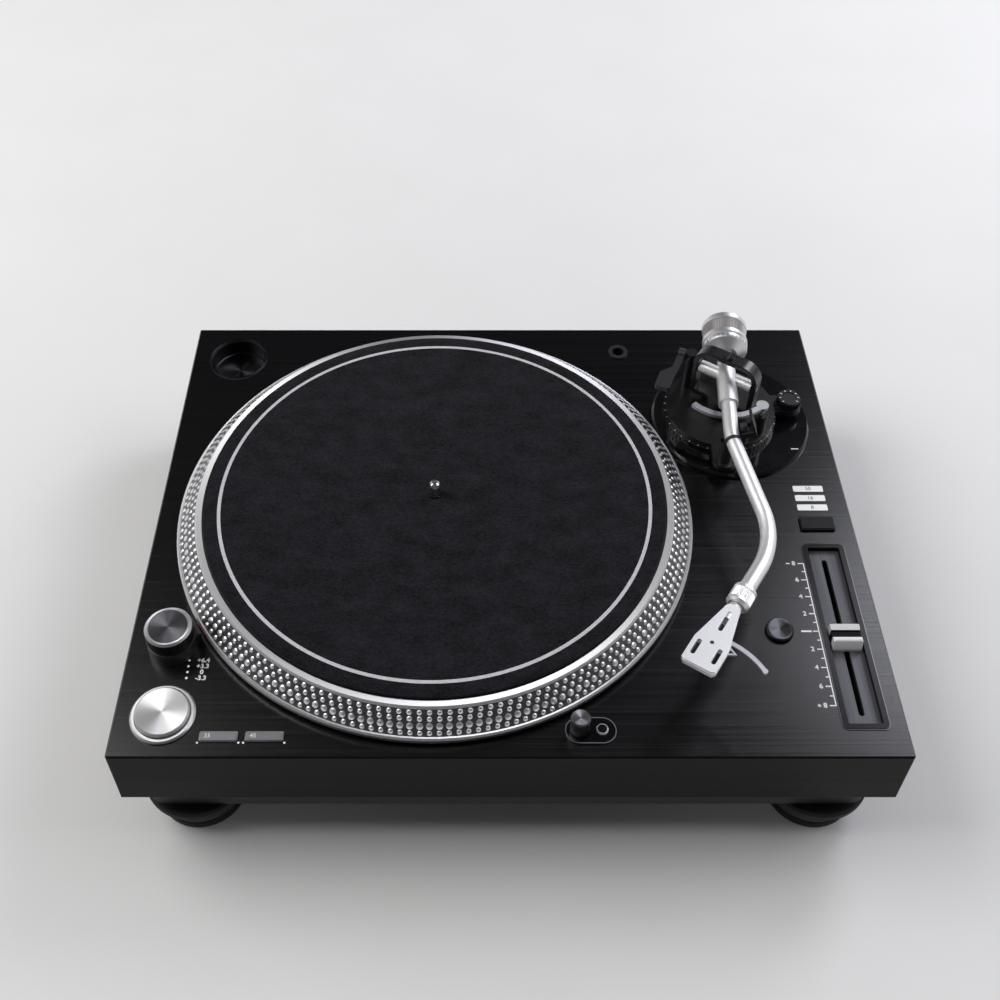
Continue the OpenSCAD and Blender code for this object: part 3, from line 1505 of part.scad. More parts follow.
// Outline of the headshell's plate, drawn in by an edge bevel
module shell_outline(bevel) {
    front = shell_w / 2 - bevel;
    back = shell_back_w / 2 - bevel;
    back_y = -shell_back + shell_back_w / 2;
    translate([0, back_y]) circle(r = back);
    polygon([
        [-back, back_y], [back, back_y], [front, -shell_shoulder],
        [front, shell_front - 2], [front - 2, shell_front - bevel], [-front + 2, shell_front - bevel],
        [-front, shell_front - 2], [-front, -shell_shoulder]
    ]);
}

// Finger lift screwed under the headshell
module finger_lift() {
    color("silver") at_headshell() translate([0, -finger_back, neck_r + 0.3 - shell_t - finger_t])
        linear_extrude(finger_t) finger_plan();
}

// Plan of the finger lift: a tab under the plate, a bent finger and a small open bracket
module finger_plan() {
    sweep = finger_len / finger_bend_r * 180 / PI;
    side = shell_w / 2 - 1.5;
    reach = 2 * finger_bend_r;
    translate([-side - 0.5, -finger_w / 2]) square([side - 3, finger_w / 2 + 9.5]);
    translate([-side, finger_bend_r]) {
        intersection() {
            difference() {
                circle(r = finger_bend_r + finger_w / 2);
                circle(r = finger_bend_r - finger_w / 2);
            }
            polygon([[0, 0], [-reach * sin(sweep), -reach * cos(sweep)], [0, -reach]]);
        }
        rotate([0, 0, -sweep]) translate([0, -finger_bend_r]) circle(d = finger_w + 0.6);
    }
    difference() {
        polygon([[-side, 2.6], [-side, 9], [-side - 5.6, 5.4]]);
        polygon([[-side - 1, 4.2], [-side - 1, 7.3], [-side - 3.7, 5.5]]);
    }
}

plinth_shell();
base_tub();
base_screws();
terminal_plate();
signal_jacks();
ground_post();
mains_inlet();
bearing_housing();
stator();
control_board();
power_board();
transformer();
strobe_housing();
strobe_window();
start_ring();
range_windows();
fader_tray();
fader_track();
lamp_plate();
headshell_socket();
arm_flange();
platter();
rotor_magnet();
spindle();
slipmat();
start_button();
speed_33_button();
speed_45_button();
power_knob();
reset_button();
range_button();
fader_cap();
stylus_lamp();
lamp_button();
adapter_cup();
foot_front_left();
foot_front_right();
foot_back_left();
foot_back_right();
height_ring();
height_lock();
arm_platform();
arm_rest();
lift_housing();
yoke();
arm_pivot();
arm_tube();
tube_ring();
weight_shaft();
locking_collar();
headshell();
finger_lift();
counterweight();
force_dial();
anti_skate_dial();
cue_lever();
lift_bar();
arm_clamp();
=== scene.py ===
# %% [markdown]
# # Dressing a direct drive turntable
# The solids of this deck come ready made, each in its place and already hung on the body that it moves
# with. What is left for Blender is what the eye reads first: lacquer, turned aluminium, spun tops, felt,
# printed scales and a few hundred strobe dots. Loading comes first.

# %% Load the solids
import bpy
import math
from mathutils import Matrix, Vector


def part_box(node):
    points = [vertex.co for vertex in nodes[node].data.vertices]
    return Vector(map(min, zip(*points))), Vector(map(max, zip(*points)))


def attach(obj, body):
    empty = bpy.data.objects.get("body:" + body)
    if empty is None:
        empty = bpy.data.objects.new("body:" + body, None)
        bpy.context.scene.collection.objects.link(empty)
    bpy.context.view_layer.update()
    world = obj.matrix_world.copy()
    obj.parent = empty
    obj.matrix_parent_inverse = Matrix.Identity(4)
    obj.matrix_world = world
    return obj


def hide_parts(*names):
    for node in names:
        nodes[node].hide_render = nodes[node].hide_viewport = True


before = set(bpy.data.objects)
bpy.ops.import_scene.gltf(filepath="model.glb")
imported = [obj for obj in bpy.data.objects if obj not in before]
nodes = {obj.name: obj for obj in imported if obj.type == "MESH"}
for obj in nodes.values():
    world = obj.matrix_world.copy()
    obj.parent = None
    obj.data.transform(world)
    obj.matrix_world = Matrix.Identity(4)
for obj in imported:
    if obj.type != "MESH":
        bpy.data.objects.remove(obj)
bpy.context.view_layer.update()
MM = 0.001

# %% [markdown]
# ## Where the deck is seen from
# The picture is taken from above the front edge, close to a 45 degree look down, a little left of the
# middle. A camera could be turned by eye until it fits; here the tilt follows from how fast upright lines
# draw together, which puts the horizon far above the picture, and the distance from the width of the front
# edge. Blender's shift moves the picture on the sensor, as a cropped photograph does, without turning the
# camera.

# %% Camera
PICTURE_PIXELS = 1000.0
FOCAL_PIXELS = 1256.0
MIDDLE_ROW, HORIZON_ROW = 380, -868
EDGE_PIXELS_PER_METRE = 1796.0
EDGE_BELOW_HORIZON = 0.9053
EYE_X, FRONT_EDGE_Y, PANEL_Z = -0.0219, -0.1765, 0.100
SENSOR_MM = 36.0
tilt_down = math.atan((MIDDLE_ROW - HORIZON_ROW) / FOCAL_PIXELS)
edge_depth = FOCAL_PIXELS / EDGE_PIXELS_PER_METRE
eye_above_panel = EDGE_BELOW_HORIZON * math.cos(tilt_down)
eye_before_edge = (edge_depth - eye_above_panel * math.sin(tilt_down)) / math.cos(tilt_down)
camera_data = bpy.data.cameras.new("camera")
camera = bpy.data.objects.new("camera", camera_data)
bpy.context.scene.collection.objects.link(camera)
camera_data.sensor_width = SENSOR_MM
camera_data.lens = SENSOR_MM * FOCAL_PIXELS / PICTURE_PIXELS
camera_data.shift_x = 0.029
camera_data.shift_y = -0.12
camera.location = (EYE_X, FRONT_EDGE_Y - eye_before_edge, PANEL_Z + eye_above_panel)
camera.rotation_euler = (math.radians(90) - tilt_down, 0, 0)
bpy.context.scene.camera = camera
print("camera at", [round(v, 3) for v in camera.location], "tilt", round(math.degrees(tilt_down), 1))

# %% [markdown]
# ## Writing shaders as sums
# A finish is a graph of small nodes. Wired by hand in the editor it is quick to try but slow to read, so
# one small class stands for a socket and lets plain sums add the Math nodes, and another stands for a
# material and adds any other node by its type. Colours go through a Mix node, since a Math node would
# turn them grey.

# %% Sockets and finishes
class Wire:
    def __init__(self, finish, socket):
        self.finish = finish
        self.socket = socket

    def out(self, name):
        return Wire(self.finish, self.socket.node.outputs[name])

    def sum(self, operation, *terms):
        return self.finish.node("ShaderNodeMath", {"operation": operation}, dict(enumerate(terms)))

    def __add__(self, other):
        return self.sum("ADD", self, other)

    def __radd__(self, other):
        return self.sum("ADD", other, self)

    def __sub__(self, other):
        return self.sum("SUBTRACT", self, other)

    def __mul__(self, other):
        return self.sum("MULTIPLY", self, other)

    def __rmul__(self, other):
        return self.sum("MULTIPLY", other, self)

    def __truediv__(self, other):
        return self.sum("DIVIDE", self, other)

    def __gt__(self, other):
        return self.sum("GREATER_THAN", self, other)

    def __lt__(self, other):
        return self.sum("LESS_THAN", self, other)

    def __abs__(self):
        return self.sum("ABSOLUTE", self)


class Finish:
    def __init__(self, name, constants=None, world=False):
        self.material = bpy.data.worlds.new(name) if world else bpy.data.materials.new(name)
        self.material.use_nodes = True
        self.tree = self.material.node_tree
        self.shader = self.tree.nodes["Background" if world else "Principled BSDF"]
        for socket, value in (constants or {}).items():
            self.shader.inputs[socket].default_value = value

    def node(self, kind, settings=None, sockets=None, output=0):
        made = self.tree.nodes.new(kind)
        for key, value in (settings or {}).items():
            if key == "stops":
                ramp = made.color_ramp
                while len(ramp.elements) < len(value):
                    ramp.elements.new(1.0)
                for stop, (position, colour) in zip(ramp.elements, value):
                    stop.position = position
                    stop.color = colour
            else:
                setattr(made, key, value)
        for key, value in (sockets or {}).items():
            self.join(value, made.inputs[key])
        return Wire(self, made.outputs[output])

    def join(self, value, socket):
        if isinstance(value, Wire):
            self.tree.links.new(value.socket, socket)
        else:
            socket.default_value = value

    def feed(self, **wires):
        for name, wire in wires.items():
            self.join(wire, self.shader.inputs[name.replace("_", " ").title()])


def paint(red, green, blue):
    def linear(v):
        v = v / 255.0
        return v / 12.92 if v <= 0.04045 else ((v + 0.055) / 1.055) ** 2.4
    return (linear(red), linear(green), linear(blue), 1.0)


print("a mid grey of 128 is", round(paint(128, 128, 128)[0], 3), "in light")

# %% [markdown]
# ## Patterns shared by the finishes
# Most of the deck's surfaces are one of two things: a drawn or sprayed grain, or rings left by a lathe.
# Both can be had from noise on Object coordinates. A Mapping node moves the middle of the pattern to the
# piece's own axis, a stretched noise gives streaks, and a noise of one dimension, fed with the distance
# from the axis, gives the rings.

# %% Pattern helpers
def place(finish, centre=(0, 0, 0)):
    spot = finish.node("ShaderNodeTexCoord", output="Object")
    sockets = {"Vector": spot, "Location": tuple(centre)}
    return finish.node("ShaderNodeMapping", {"vector_type": "TEXTURE"}, sockets)


def grain(finish, spot, scale, stretch=(1, 1, 1), detail=2.0):
    drawn = finish.node("ShaderNodeVectorMath", {"operation": "MULTIPLY"}, {0: spot, 1: stretch})
    return finish.node("ShaderNodeTexNoise", {}, {"Vector": drawn, "Scale": scale, "Detail": detail})


def from_axis(finish, spot):
    level = finish.node("ShaderNodeVectorMath", {"operation": "MULTIPLY"}, {0: spot, 1: (1, 1, 0)})
    return finish.node("ShaderNodeVectorMath", {"operation": "LENGTH"}, {0: level}, "Value")


def rings(finish, radius, per_metre):
    sockets = {"W": radius * per_metre, "Scale": 1.0, "Detail": 3.0}
    return finish.node("ShaderNodeTexNoise", {"noise_dimensions": "1D"}, sockets)


def height_of(finish, spot):
    return finish.node("ShaderNodeSeparateXYZ", {}, {0: spot}).out("Z")


def blend(finish, mask, low, high):
    return finish.node("ShaderNodeMix", {"data_type": "RGBA"}, {0: mask, 6: low, 7: high}, 2)


def relief(finish, height, depth, strength):
    sockets = {"Height": height, "Distance": depth, "Strength": strength}
    finish.feed(normal=finish.node("ShaderNodeBump", {}, sockets))


def dress(finish, *names):
    for name in names:
        for slot in nodes[name].material_slots:
            slot.material = finish.material
    print(finish.material.name, "on", len(names), "solids")


def middle(name):
    low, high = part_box(name)
    return (low + high) / 2


# %% [markdown]
# ## A pale floor and soft light
# A studio shot of a black deck is mostly a picture of what the deck reflects. A sky that is brighter near
# the horizon than overhead keeps the top panel dark. Boxes at the left and the right draw the fans on turned
# metal, a weak one overhead fills in, and one behind the right end lays the grey sheen that runs down that
# side of the panel. One bare sun would be simpler, but glossy black then shows nothing but a dot. Lamps fade
# with distance, so the floor glows more the further it lies from the deck, as a studio's paper does where it
# sweeps up into the light.

# %% Floor, sky and lamps
FLOOR_SIZE = 8
GLOW_FROM, GLOW_REACH = 0.15, 4.0
AIM = Vector((0, 0, 0.1))
WARM, PALE, COOL = (1.0, 0.99, 0.98), (0.97, 0.97, 1.0), (0.91, 0.92, 1.0)
bpy.ops.object.select_all(action="DESELECT")
bpy.ops.mesh.primitive_plane_add(size=FLOOR_SIZE)
floor = bpy.context.object
floor.name = "studio_floor"
floor_paint = Finish("floor_paint", {"Specular IOR Level": 0.2, "Emission Strength": 1.0})
on_floor = place(floor_paint)
floor_mottle = grain(floor_paint, on_floor, 9.0, detail=4.0)
far_off = (from_axis(floor_paint, on_floor) - GLOW_FROM) / GLOW_REACH
floor_paint.feed(base_color=blend(floor_paint, floor_mottle, paint(214, 214, 213), paint(221, 221, 221)),
                 roughness=0.75 + 0.1 * floor_mottle,
                 emission_color=blend(floor_paint, far_off, (0, 0, 0, 1), (0.88, 0.88, 0.89, 1)))
floor.data.materials.append(floor_paint.material)

sky = Finish("studio_sky", {"Strength": 1.0}, world=True)
up = height_of(sky, sky.node("ShaderNodeTexCoord", output="Generated"))
sky_stops = [(0.0, (0.80, 0.80, 0.81, 1)), (0.2, (0.36, 0.36, 0.37, 1)), (0.42, (0.06, 0.06, 0.063, 1)),
             (0.95, (0.035, 0.035, 0.038, 1))]
sky.feed(color=sky.node("ShaderNodeValToRGB", {"stops": sky_stops}, {0: up}))
bpy.context.scene.world = sky.material


def soft_box(name, spot, width, depth, watts, colour):
    lamp = bpy.data.lights.new(name, "AREA")
    lamp.shape = "RECTANGLE"
    lamp.size, lamp.size_y, lamp.energy, lamp.color = width, depth, watts, colour
    box = bpy.data.objects.new(name, lamp)
    box.location = spot
    box.rotation_euler = (AIM - Vector(spot)).to_track_quat("-Z", "Y").to_euler()
    bpy.context.scene.collection.objects.link(box)


soft_box("left_box", (-1.3, 0.2, 1.65), 1.4, 1.25, 29.0, WARM)
soft_box("back_right_box", (1.09, 0.95, 1.4), 0.65, 0.95, 14.5, COOL)
soft_box("right_box", (1.5, 0.05, 1.35), 1.0, 0.9, 9.0, PALE)
soft_box("top_box", (0.0, -0.1, 2.2), 1.5, 1.2, 6.0, WARM)
bpy.context.scene.view_settings.view_transform = "Standard"
print("four soft boxes and a sky")

# %% [markdown]
# ## Lacquer on the plinth
# The plinth is black, with a fine drawn grain from left to right that only shows where it catches light.
# Painting the streaks as colour would make them show everywhere; here they change the roughness and tilt
# the surface a hair, so the light itself brings them out. The walls are sprayed matt: a Mix Shader, told by
# the way that a face looks, takes most of the gloss off whatever stands upright.

# %% Panel lacquer
lacquer = Finish("panel_lacquer", {"Specular IOR Level": 0.42})
on_panel = place(lacquer)
streak = grain(lacquer, on_panel, 1.0, (5, 640, 240), 3.0)
haze = grain(lacquer, on_panel, 14.0, detail=3.0)
lacquer.feed(base_color=blend(lacquer, streak, paint(3, 3, 4), paint(11, 11, 13)),
             roughness=0.12 + 0.2 * streak + 0.04 * haze)
relief(lacquer, streak, 0.00006, 0.6)
WALL_BELOW, WALL_SHARE = 0.4, 0.65
facing_way = lacquer.node("ShaderNodeNewGeometry", output="Normal")
wall = height_of(lacquer, facing_way) < WALL_BELOW
sprayed = {"Base Color": paint(6, 6, 7), "Roughness": 0.7, "Specular IOR Level": 0.0}
matt_wall = lacquer.node("ShaderNodeBsdfPrincipled", {}, sprayed)
gloss_top = Wire(lacquer, lacquer.shader.outputs[0])
mixed = lacquer.node("ShaderNodeMixShader", {}, {0: WALL_SHARE * wall, 1: gloss_top, 2: matt_wall})
lacquer.join(mixed, lacquer.tree.nodes["Material Output"].inputs["Surface"])
dress(lacquer, "plinth_shell")

# %% [markdown]
# ## The fader's tray
# The tray is one moulding with a grey drawn floor and black walls, and a painted highlight: a band of
# grey metal on the rim's bevel stands for the glint that the gloss edge catches. They could be three
# materials on picked faces, but the solid's faces are loose triangles, so one material tells them apart
# by height instead.

# %% Tray finish
TRAY_FLOOR_Z = 97.4 * MM
TRAY_HIGHLIGHT_LOW, TRAY_HIGHLIGHT_HIGH = 100.35 * MM, 100.84 * MM
tray = Finish("tray_lacquer", {"Specular IOR Level": 0.14})
on_tray = place(tray)
tray_z = height_of(tray, on_tray)
drawn = grain(tray, on_tray, 1.0, (900, 12, 60), 2.0)
tray_floor = tray_z < TRAY_FLOOR_Z
# Painted highlight: the band on the rim's bevel, between these two heights, is grey metal standing for a
# glint.
tray_edge_highlight = (tray_z > TRAY_HIGHLIGHT_LOW) * (tray_z < TRAY_HIGHLIGHT_HIGH)
tray_black_and_highlight = blend(tray, tray_edge_highlight, paint(6, 6, 7), paint(70, 70, 73))
tray_grey = blend(tray, drawn, paint(66, 66, 70), paint(104, 104, 109))
tray.feed(base_color=blend(tray, tray_floor, tray_black_and_highlight, tray_grey),
          roughness=0.14 + 0.28 * tray_floor + 0.1 * drawn, metallic=0.4 * tray_floor + tray_edge_highlight)
relief(tray, drawn, 0.00003, 0.4)
dress(tray, "fader_tray")

# %% [markdown]
# ## Turned aluminium
# A platter comes off a lathe, so every face carries rings, and light on rings stretches into fans from
# the middle. Cycles' Anisotropic value does that about the upright axis of the piece. The lip and the
# inner ring are polished, the slope that carries the dots is satin, and the recess under the mat is left
# as cast: four zones, told apart by radius and height.

# %% Platter finish
RECESS_R, SLOPE_R = 148.6 * MM, 153.0 * MM
SLOPE_LOW_Z, SLOPE_HIGH_Z, POLISHED_Z = 107.6 * MM, 118.4 * MM, 119.4 * MM
spindle_spot = middle("spindle")
axis = (spindle_spot.x, spindle_spot.y, 0)
turned = Finish("turned_aluminium", {"Anisotropic": 0.85})
on_platter = place(turned, axis)
platter_r = from_axis(turned, on_platter)
platter_z = height_of(turned, on_platter)
lathe = rings(turned, platter_r + 0.7 * platter_z, 2600)
slope = (platter_r > SLOPE_R) * (platter_z > SLOPE_LOW_Z) * (platter_z < SLOPE_HIGH_Z)
polished = platter_z > POLISHED_Z
recess = platter_r < RECESS_R
bright = blend(turned, lathe, paint(226, 226, 228), paint(246, 246, 247))
satin = blend(turned, lathe, paint(106, 106, 109), paint(138, 138, 141))
cast_grey = blend(turned, lathe, paint(70, 70, 73), paint(92, 92, 95))
turned.feed(base_color=blend(turned, recess, blend(turned, slope, bright, satin), cast_grey),
            roughness=0.34 + 0.2 * recess + 0.16 * polished + 0.06 * lathe, metallic=1.0)
dress(turned, "platter")

# %% [markdown]
# ## Spun tops
# The start button, the reset button, the lamp's top, the power knob and the adapter's cup show a cross or a
# bow tie of light that stays put while the piece turns. That is what concentric brushing does. The same
# recipe serves them all: a metal, fine rings about its own axis, and a high Anisotropic value.

# %% Spun metal
CUTS_PER_METRE = 5200


def spun(name, node, dark, light, roughness, sheen):
    finish = Finish(name, {"Metallic": 1.0, "Anisotropic": sheen})
    spot = middle(node)
    radius = from_axis(finish, place(finish, (spot.x, spot.y, 0)))
    cut = rings(finish, radius, CUTS_PER_METRE)
    finish.feed(base_color=blend(finish, cut, paint(*dark), paint(*light)), roughness=roughness + 0.12 * cut)
    relief(finish, cut, 0.00001, 0.25)
    dress(finish, node)


spun("spun_silver", "start_button", (202, 202, 203), (230, 230, 230), 0.42, 0.9)
spun("ring_silver", "start_ring", (206, 206, 208), (232, 232, 233), 0.26, 0.4)
spun("reset_black", "reset_button", (52, 52, 56), (108, 108, 112), 0.3, 0.97)
spun("lamp_black", "stylus_lamp", (84, 84, 88), (148, 148, 152), 0.36, 0.97)
spun("cup_black", "adapter_cup", (44, 44, 47), (78, 78, 82), 0.24, 0.9)

# %% Power knob
KNOB_TOP_R = 11.45 * MM
knob_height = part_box("power_knob")[1].z
knob_spot = middle("power_knob")
knob = Finish("power_knob_finish", {"Anisotropic": 0.96, "Specular IOR Level": 0.7})
on_knob = place(knob, (knob_spot.x, knob_spot.y, 0))
knob_r = from_axis(knob, on_knob)
knob_z = height_of(knob, on_knob)
knob_cut = rings(knob, knob_r, CUTS_PER_METRE)
knob_top = (knob_r < KNOB_TOP_R) * (knob_z > knob_height - 0.7 * MM)
knob_rim = (knob_r > KNOB_TOP_R) * (knob_z > knob_height - 1.25 * MM)
knob_brushed = blend(knob, knob_cut, paint(64, 64, 68), paint(112, 112, 116))
knob_black = blend(knob, knob_top, paint(10, 10, 12), knob_brushed)
knob.feed(base_color=blend(knob, knob_rim, knob_black, paint(214, 214, 217)), metallic=knob_top + knob_rim,
          roughness=0.26 + 0.14 * knob_top + 0.2 * knob_rim + 0.06 * knob_cut)
relief(knob, knob_cut * knob_top, 0.00002, 0.35)
dress(knob, "power_knob")

# %% [markdown]
# ## Silver of the arm
# Tube, pivot, collar and headshell are satin chromed or anodised metal: bright, slightly grey, with
# reflections that are soft at the edge. A faint cloud in the roughness keeps long smooth tubes from
# looking computed.

# %% Satin silver and bright steel
def plain_metal(name, dark, light, roughness, scale, stretch=(1, 1, 1)):
    finish = Finish(name, {"Metallic": 1.0})
    cloud = grain(finish, place(finish), scale, stretch, 3.0)
    finish.feed(base_color=blend(finish, cloud, paint(*dark), paint(*light)),
                roughness=roughness + 0.12 * cloud)
    relief(finish, cloud, 0.00001, 0.2)
    return finish


silver = plain_metal("satin_silver", (222, 222, 223), (243, 243, 243), 0.4, 900)
dress(silver, "arm_pivot", "arm_tube", "locking_collar")
shell_silver = plain_metal("shell_silver", (200, 200, 201), (224, 224, 225), 0.44, 1400)
dress(shell_silver, "headshell")
button_grey = plain_metal("button_grey", (104, 104, 108), (138, 138, 142), 0.36, 1.0, (60, 2600, 600))
dress(button_grey, "speed_33_button", "speed_45_button")
steel = plain_metal("bright_steel", (196, 196, 199), (224, 224, 226), 0.2, 700)
dress(steel, "weight_shaft", "spindle", "base_screws", "ground_post")
satin_grey = plain_metal("satin_grey", (158, 158, 161), (184, 184, 187), 0.4, 900)
dress(satin_grey, "finger_lift", "lift_bar")

# %% [markdown]
# ## Counterweight and force dial
# The counterweight has two bright bands and a darker knurled waist. Its axis is not upright, so the waist
# is found with a dot product: the distance of a point from the pivot along the rear of the arm.

# %% Weight and dial finish
REAR = Vector((0.1132, 0.9936, 0.0))
PIVOT = (151.489 * MM, 83.277 * MM, 142 * MM)
WAIST_FROM, WAIST_TO = 33.8 * MM, 44.2 * MM
weight = Finish("weight_steel", {"Metallic": 1.0})
on_weight = place(weight, PIVOT)
dot_sockets = {0: on_weight, 1: tuple(REAR)}
along = weight.node("ShaderNodeVectorMath", {"operation": "DOT_PRODUCT"}, dot_sockets, "Value")
waist = (along > WAIST_FROM) * (along < WAIST_TO)
turning = rings(weight, along, 4200)
weight_bright = blend(weight, turning, paint(206, 206, 208), paint(232, 232, 233))
weight.feed(base_color=blend(weight, waist, weight_bright, paint(168, 165, 162)),
            roughness=0.36 + 0.1 * turning + 0.12 * waist)
relief(weight, turning, 0.00001, 0.2)
dress(weight, "counterweight", "force_dial")

# %% [markdown]
# ## The blacks
# Seven blacks sit side by side on this deck and little but their gloss tells them apart: mirror black on the
# arm's flange, anodised black on its castings, moulded plastic on levers and terminals, a dull button, a
# shiny lamp housing, a grained tub and rubber feet. One recipe with a cloud of its own scale for each keeps
# them related but not the same.

# %% Gloss, anodised, plastic and rubber
def black(name, tone, roughness, spread, scale, depth, level=0.5):
    finish = Finish(name, {"Specular IOR Level": level})
    cloud = grain(finish, place(finish), scale, detail=4.0)
    light = tuple(v + 14 for v in tone)
    finish.feed(base_color=blend(finish, cloud, paint(*tone), paint(*light)),
                roughness=roughness + spread * cloud)
    relief(finish, cloud, depth, 0.5)
    return finish


gloss = black("gloss_black", (7, 7, 9), 0.07, 0.08, 160, 0.00001, 0.6)
dress(gloss, "arm_flange", "height_lock")
anodised = black("anodised_black", (13, 13, 15), 0.22, 0.12, 1800, 0.00002, 0.6)
dress(anodised, "arm_platform", "lift_housing", "yoke", "height_ring", "anti_skate_dial", "fader_track")
plastic = black("moulded_black", (14, 14, 16), 0.34, 0.16, 1400, 0.00004)
dress(plastic, "terminal_plate", "mains_inlet", "headshell_socket", "arm_rest", "tube_ring", "cue_lever",
      "arm_clamp")
matt = black("matt_black", (9, 9, 10), 0.3, 0.12, 1400, 0.00002, 0.14)
dress(matt, "range_button")
housing = black("housing_black", (24, 24, 26), 0.28, 0.08, 1200, 0.00001, 0.9)
dress(housing, "strobe_housing")
moulding = black("base_moulding", (16, 16, 18), 0.5, 0.2, 1100, 0.0001)
dress(moulding, "base_tub")
rubber = black("foot_rubber_black", (20, 20, 21), 0.62, 0.2, 800, 0.0001, 0.35)
dress(rubber, "foot_front_left", "foot_front_right", "foot_back_left", "foot_back_right")

# %% [markdown]
# ## The lamp's plate
# The plate round the pop-up lamp is gloss black, with a painted highlight round its edge: a band of grey
# metal that stands for the glint its rounded edge catches. The plate is a slot shape, so its edge is
# whatever lies far from the line that joins the middles of its two round ends. Its button has a bright
# rim too.

# %% Lamp plate finish
HIGHLIGHT_WIDE, PRESS_RIM_R = 0.6 * MM, 2.75 * MM
lamp_low, lamp_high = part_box("lamp_plate")
end_r = (lamp_high.y - lamp_low.y) / 2
half_line = (lamp_high.x - lamp_low.x) / 2 - end_r
edged = Finish("gloss_with_painted_highlight", {"Specular IOR Level": 0.6})
on_plate = place(edged, tuple(middle("lamp_plate")))
plate_parts = edged.node("ShaderNodeSeparateXYZ", {}, {0: on_plate})
past_line = abs(plate_parts.out("X")) - half_line
past_line = past_line.sum("MAXIMUM", past_line, 0.0)
beside = plate_parts.out("Y")
# Painted highlight: grey metal in a band round the plate's edge, standing for the glint on the rounded edge.
plate_edge_highlight = past_line * past_line + beside * beside > (end_r - HIGHLIGHT_WIDE) ** 2
plate_cloud = grain(edged, on_plate, 300)
edged.feed(base_color=blend(edged, plate_edge_highlight, paint(8, 8, 10), paint(112, 112, 116)), metallic=plate_edge_highlight,
           roughness=0.1 + 0.3 * plate_edge_highlight + 0.05 * plate_cloud)
dress(edged, "lamp_plate")
rimmed = Finish("rimmed_black", {"Specular IOR Level": 0.6})
press_spot = middle("lamp_button")
on_press = place(rimmed, (press_spot.x, press_spot.y, 0))
press_rim = from_axis(rimmed, on_press) > PRESS_RIM_R
press_cloud = grain(rimmed, on_press, 900)
rimmed.feed(base_color=blend(rimmed, press_rim, paint(12, 12, 14), paint(206, 206, 208)), metallic=press_rim,
            roughness=0.12 + 0.26 * press_rim + 0.05 * press_cloud)
dress(rimmed, "lamp_button")

# %% [markdown]
# ## Chrome cap on the fader
# The cap is stepped satin chrome with a groove across its middle, which is what the finger feels for.
# The code paints a near black band across the middle of the cap, found by its distance from the middle.

# %% Fader cap finish
MIDDLE_BAND_HALF = 2.45 * MM
cap_spot = middle("fader_cap")
chrome = Finish("cap_chrome", {"Metallic": 0.35, "Specular IOR Level": 0.1})
on_cap = place(chrome, tuple(cap_spot))
cap_parts = chrome.node("ShaderNodeSeparateXYZ", {}, {0: on_cap})
# Near black across the middle of the cap, in a band of this half width.
middle_band = abs(cap_parts.out("Y")) < MIDDLE_BAND_HALF
polish = grain(chrome, on_cap, 1.0, (60, 2400, 600))
cap_bright = blend(chrome, polish, paint(228, 228, 230), paint(246, 246, 246))
chrome.feed(base_color=blend(chrome, middle_band, cap_bright, paint(12, 12, 14)), roughness=0.42 + 0.1 * polish)
dress(chrome, "fader_cap")

# %% [markdown]
# ## Windows and what is out of sight
# Three small windows beside the fader glow white, and the strobe's window is red. Inside the plinth sit a
# motor, boards and a transformer that a light pass through the base would show, so they get their own
# simple finishes rather than the grey of a bare solid.

# %% Windows
lit = Finish("lit_window", {"Roughness": 0.25, "Emission Strength": 0.12})
diffused = grain(lit, place(lit), 420, detail=2.0)
lit_white = blend(lit, diffused, paint(216, 217, 216), paint(232, 232, 230))
lit.feed(base_color=lit_white, emission_color=lit_white)
dress(lit, "range_windows")
red = Finish("red_window", {"Roughness": 0.08, "Coat Weight": 1.0, "Emission Strength": 0.25})
ribs = grain(red, place(red), 1.0, (200, 200, 3000), 1.0)
red_glass = blend(red, ribs, paint(96, 6, 8), paint(150, 16, 16))
red.feed(base_color=red_glass, emission_color=red_glass)
dress(red, "strobe_window")

# %% Inside parts
def inside(name, dark, light, metal, roughness, scale, *names):
    finish = Finish(name, {"Metallic": metal})
    cloud = grain(finish, place(finish), scale, detail=3.0)
    finish.feed(base_color=blend(finish, cloud, paint(*dark), paint(*light)),
                roughness=roughness + 0.15 * cloud)
    relief(finish, cloud, 0.00005, 0.4)
    dress(finish, *names)


inside("gilt", (178, 138, 62), (212, 176, 98), 1.0, 0.18, 500, "signal_jacks")
inside("cast_housing", (120, 120, 122), (150, 150, 152), 1.0, 0.45, 600, "bearing_housing")
inside("wound_copper", (136, 72, 38), (182, 104, 58), 1.0, 0.3, 1500, "stator", "transformer")
inside("board_green", (16, 62, 38), (26, 84, 52), 0.0, 0.35, 300, "control_board", "power_board")
inside("ferrite", (38, 37, 38), (60, 58, 58), 0.0, 0.55, 700, "rotor_magnet")

# %% [markdown]
# ## The slipmat
# The mat is a disc of felt, cut from a flat sheet, with a pale printed line near its edge. The solid is
# hidden and a felt disc laid in its place. It starts as a circle the size of the spindle hole and grows
# outwards ring by ring, so that there are enough faces for the nap to lift a little; Solidify then gives
# the felt its thickness.

# %% Felt disc
def fresh_start():
    if bpy.context.object and bpy.context.object.mode != "OBJECT":
        bpy.ops.object.mode_set(mode="OBJECT")
    bpy.ops.object.select_all(action="DESELECT")


def apply_modifiers(piece):
    fresh_start()
    piece.select_set(True)
    bpy.context.view_layer.objects.active = piece
    for modifier in list(piece.modifiers):
        bpy.ops.object.modifier_apply(modifier=modifier.name)


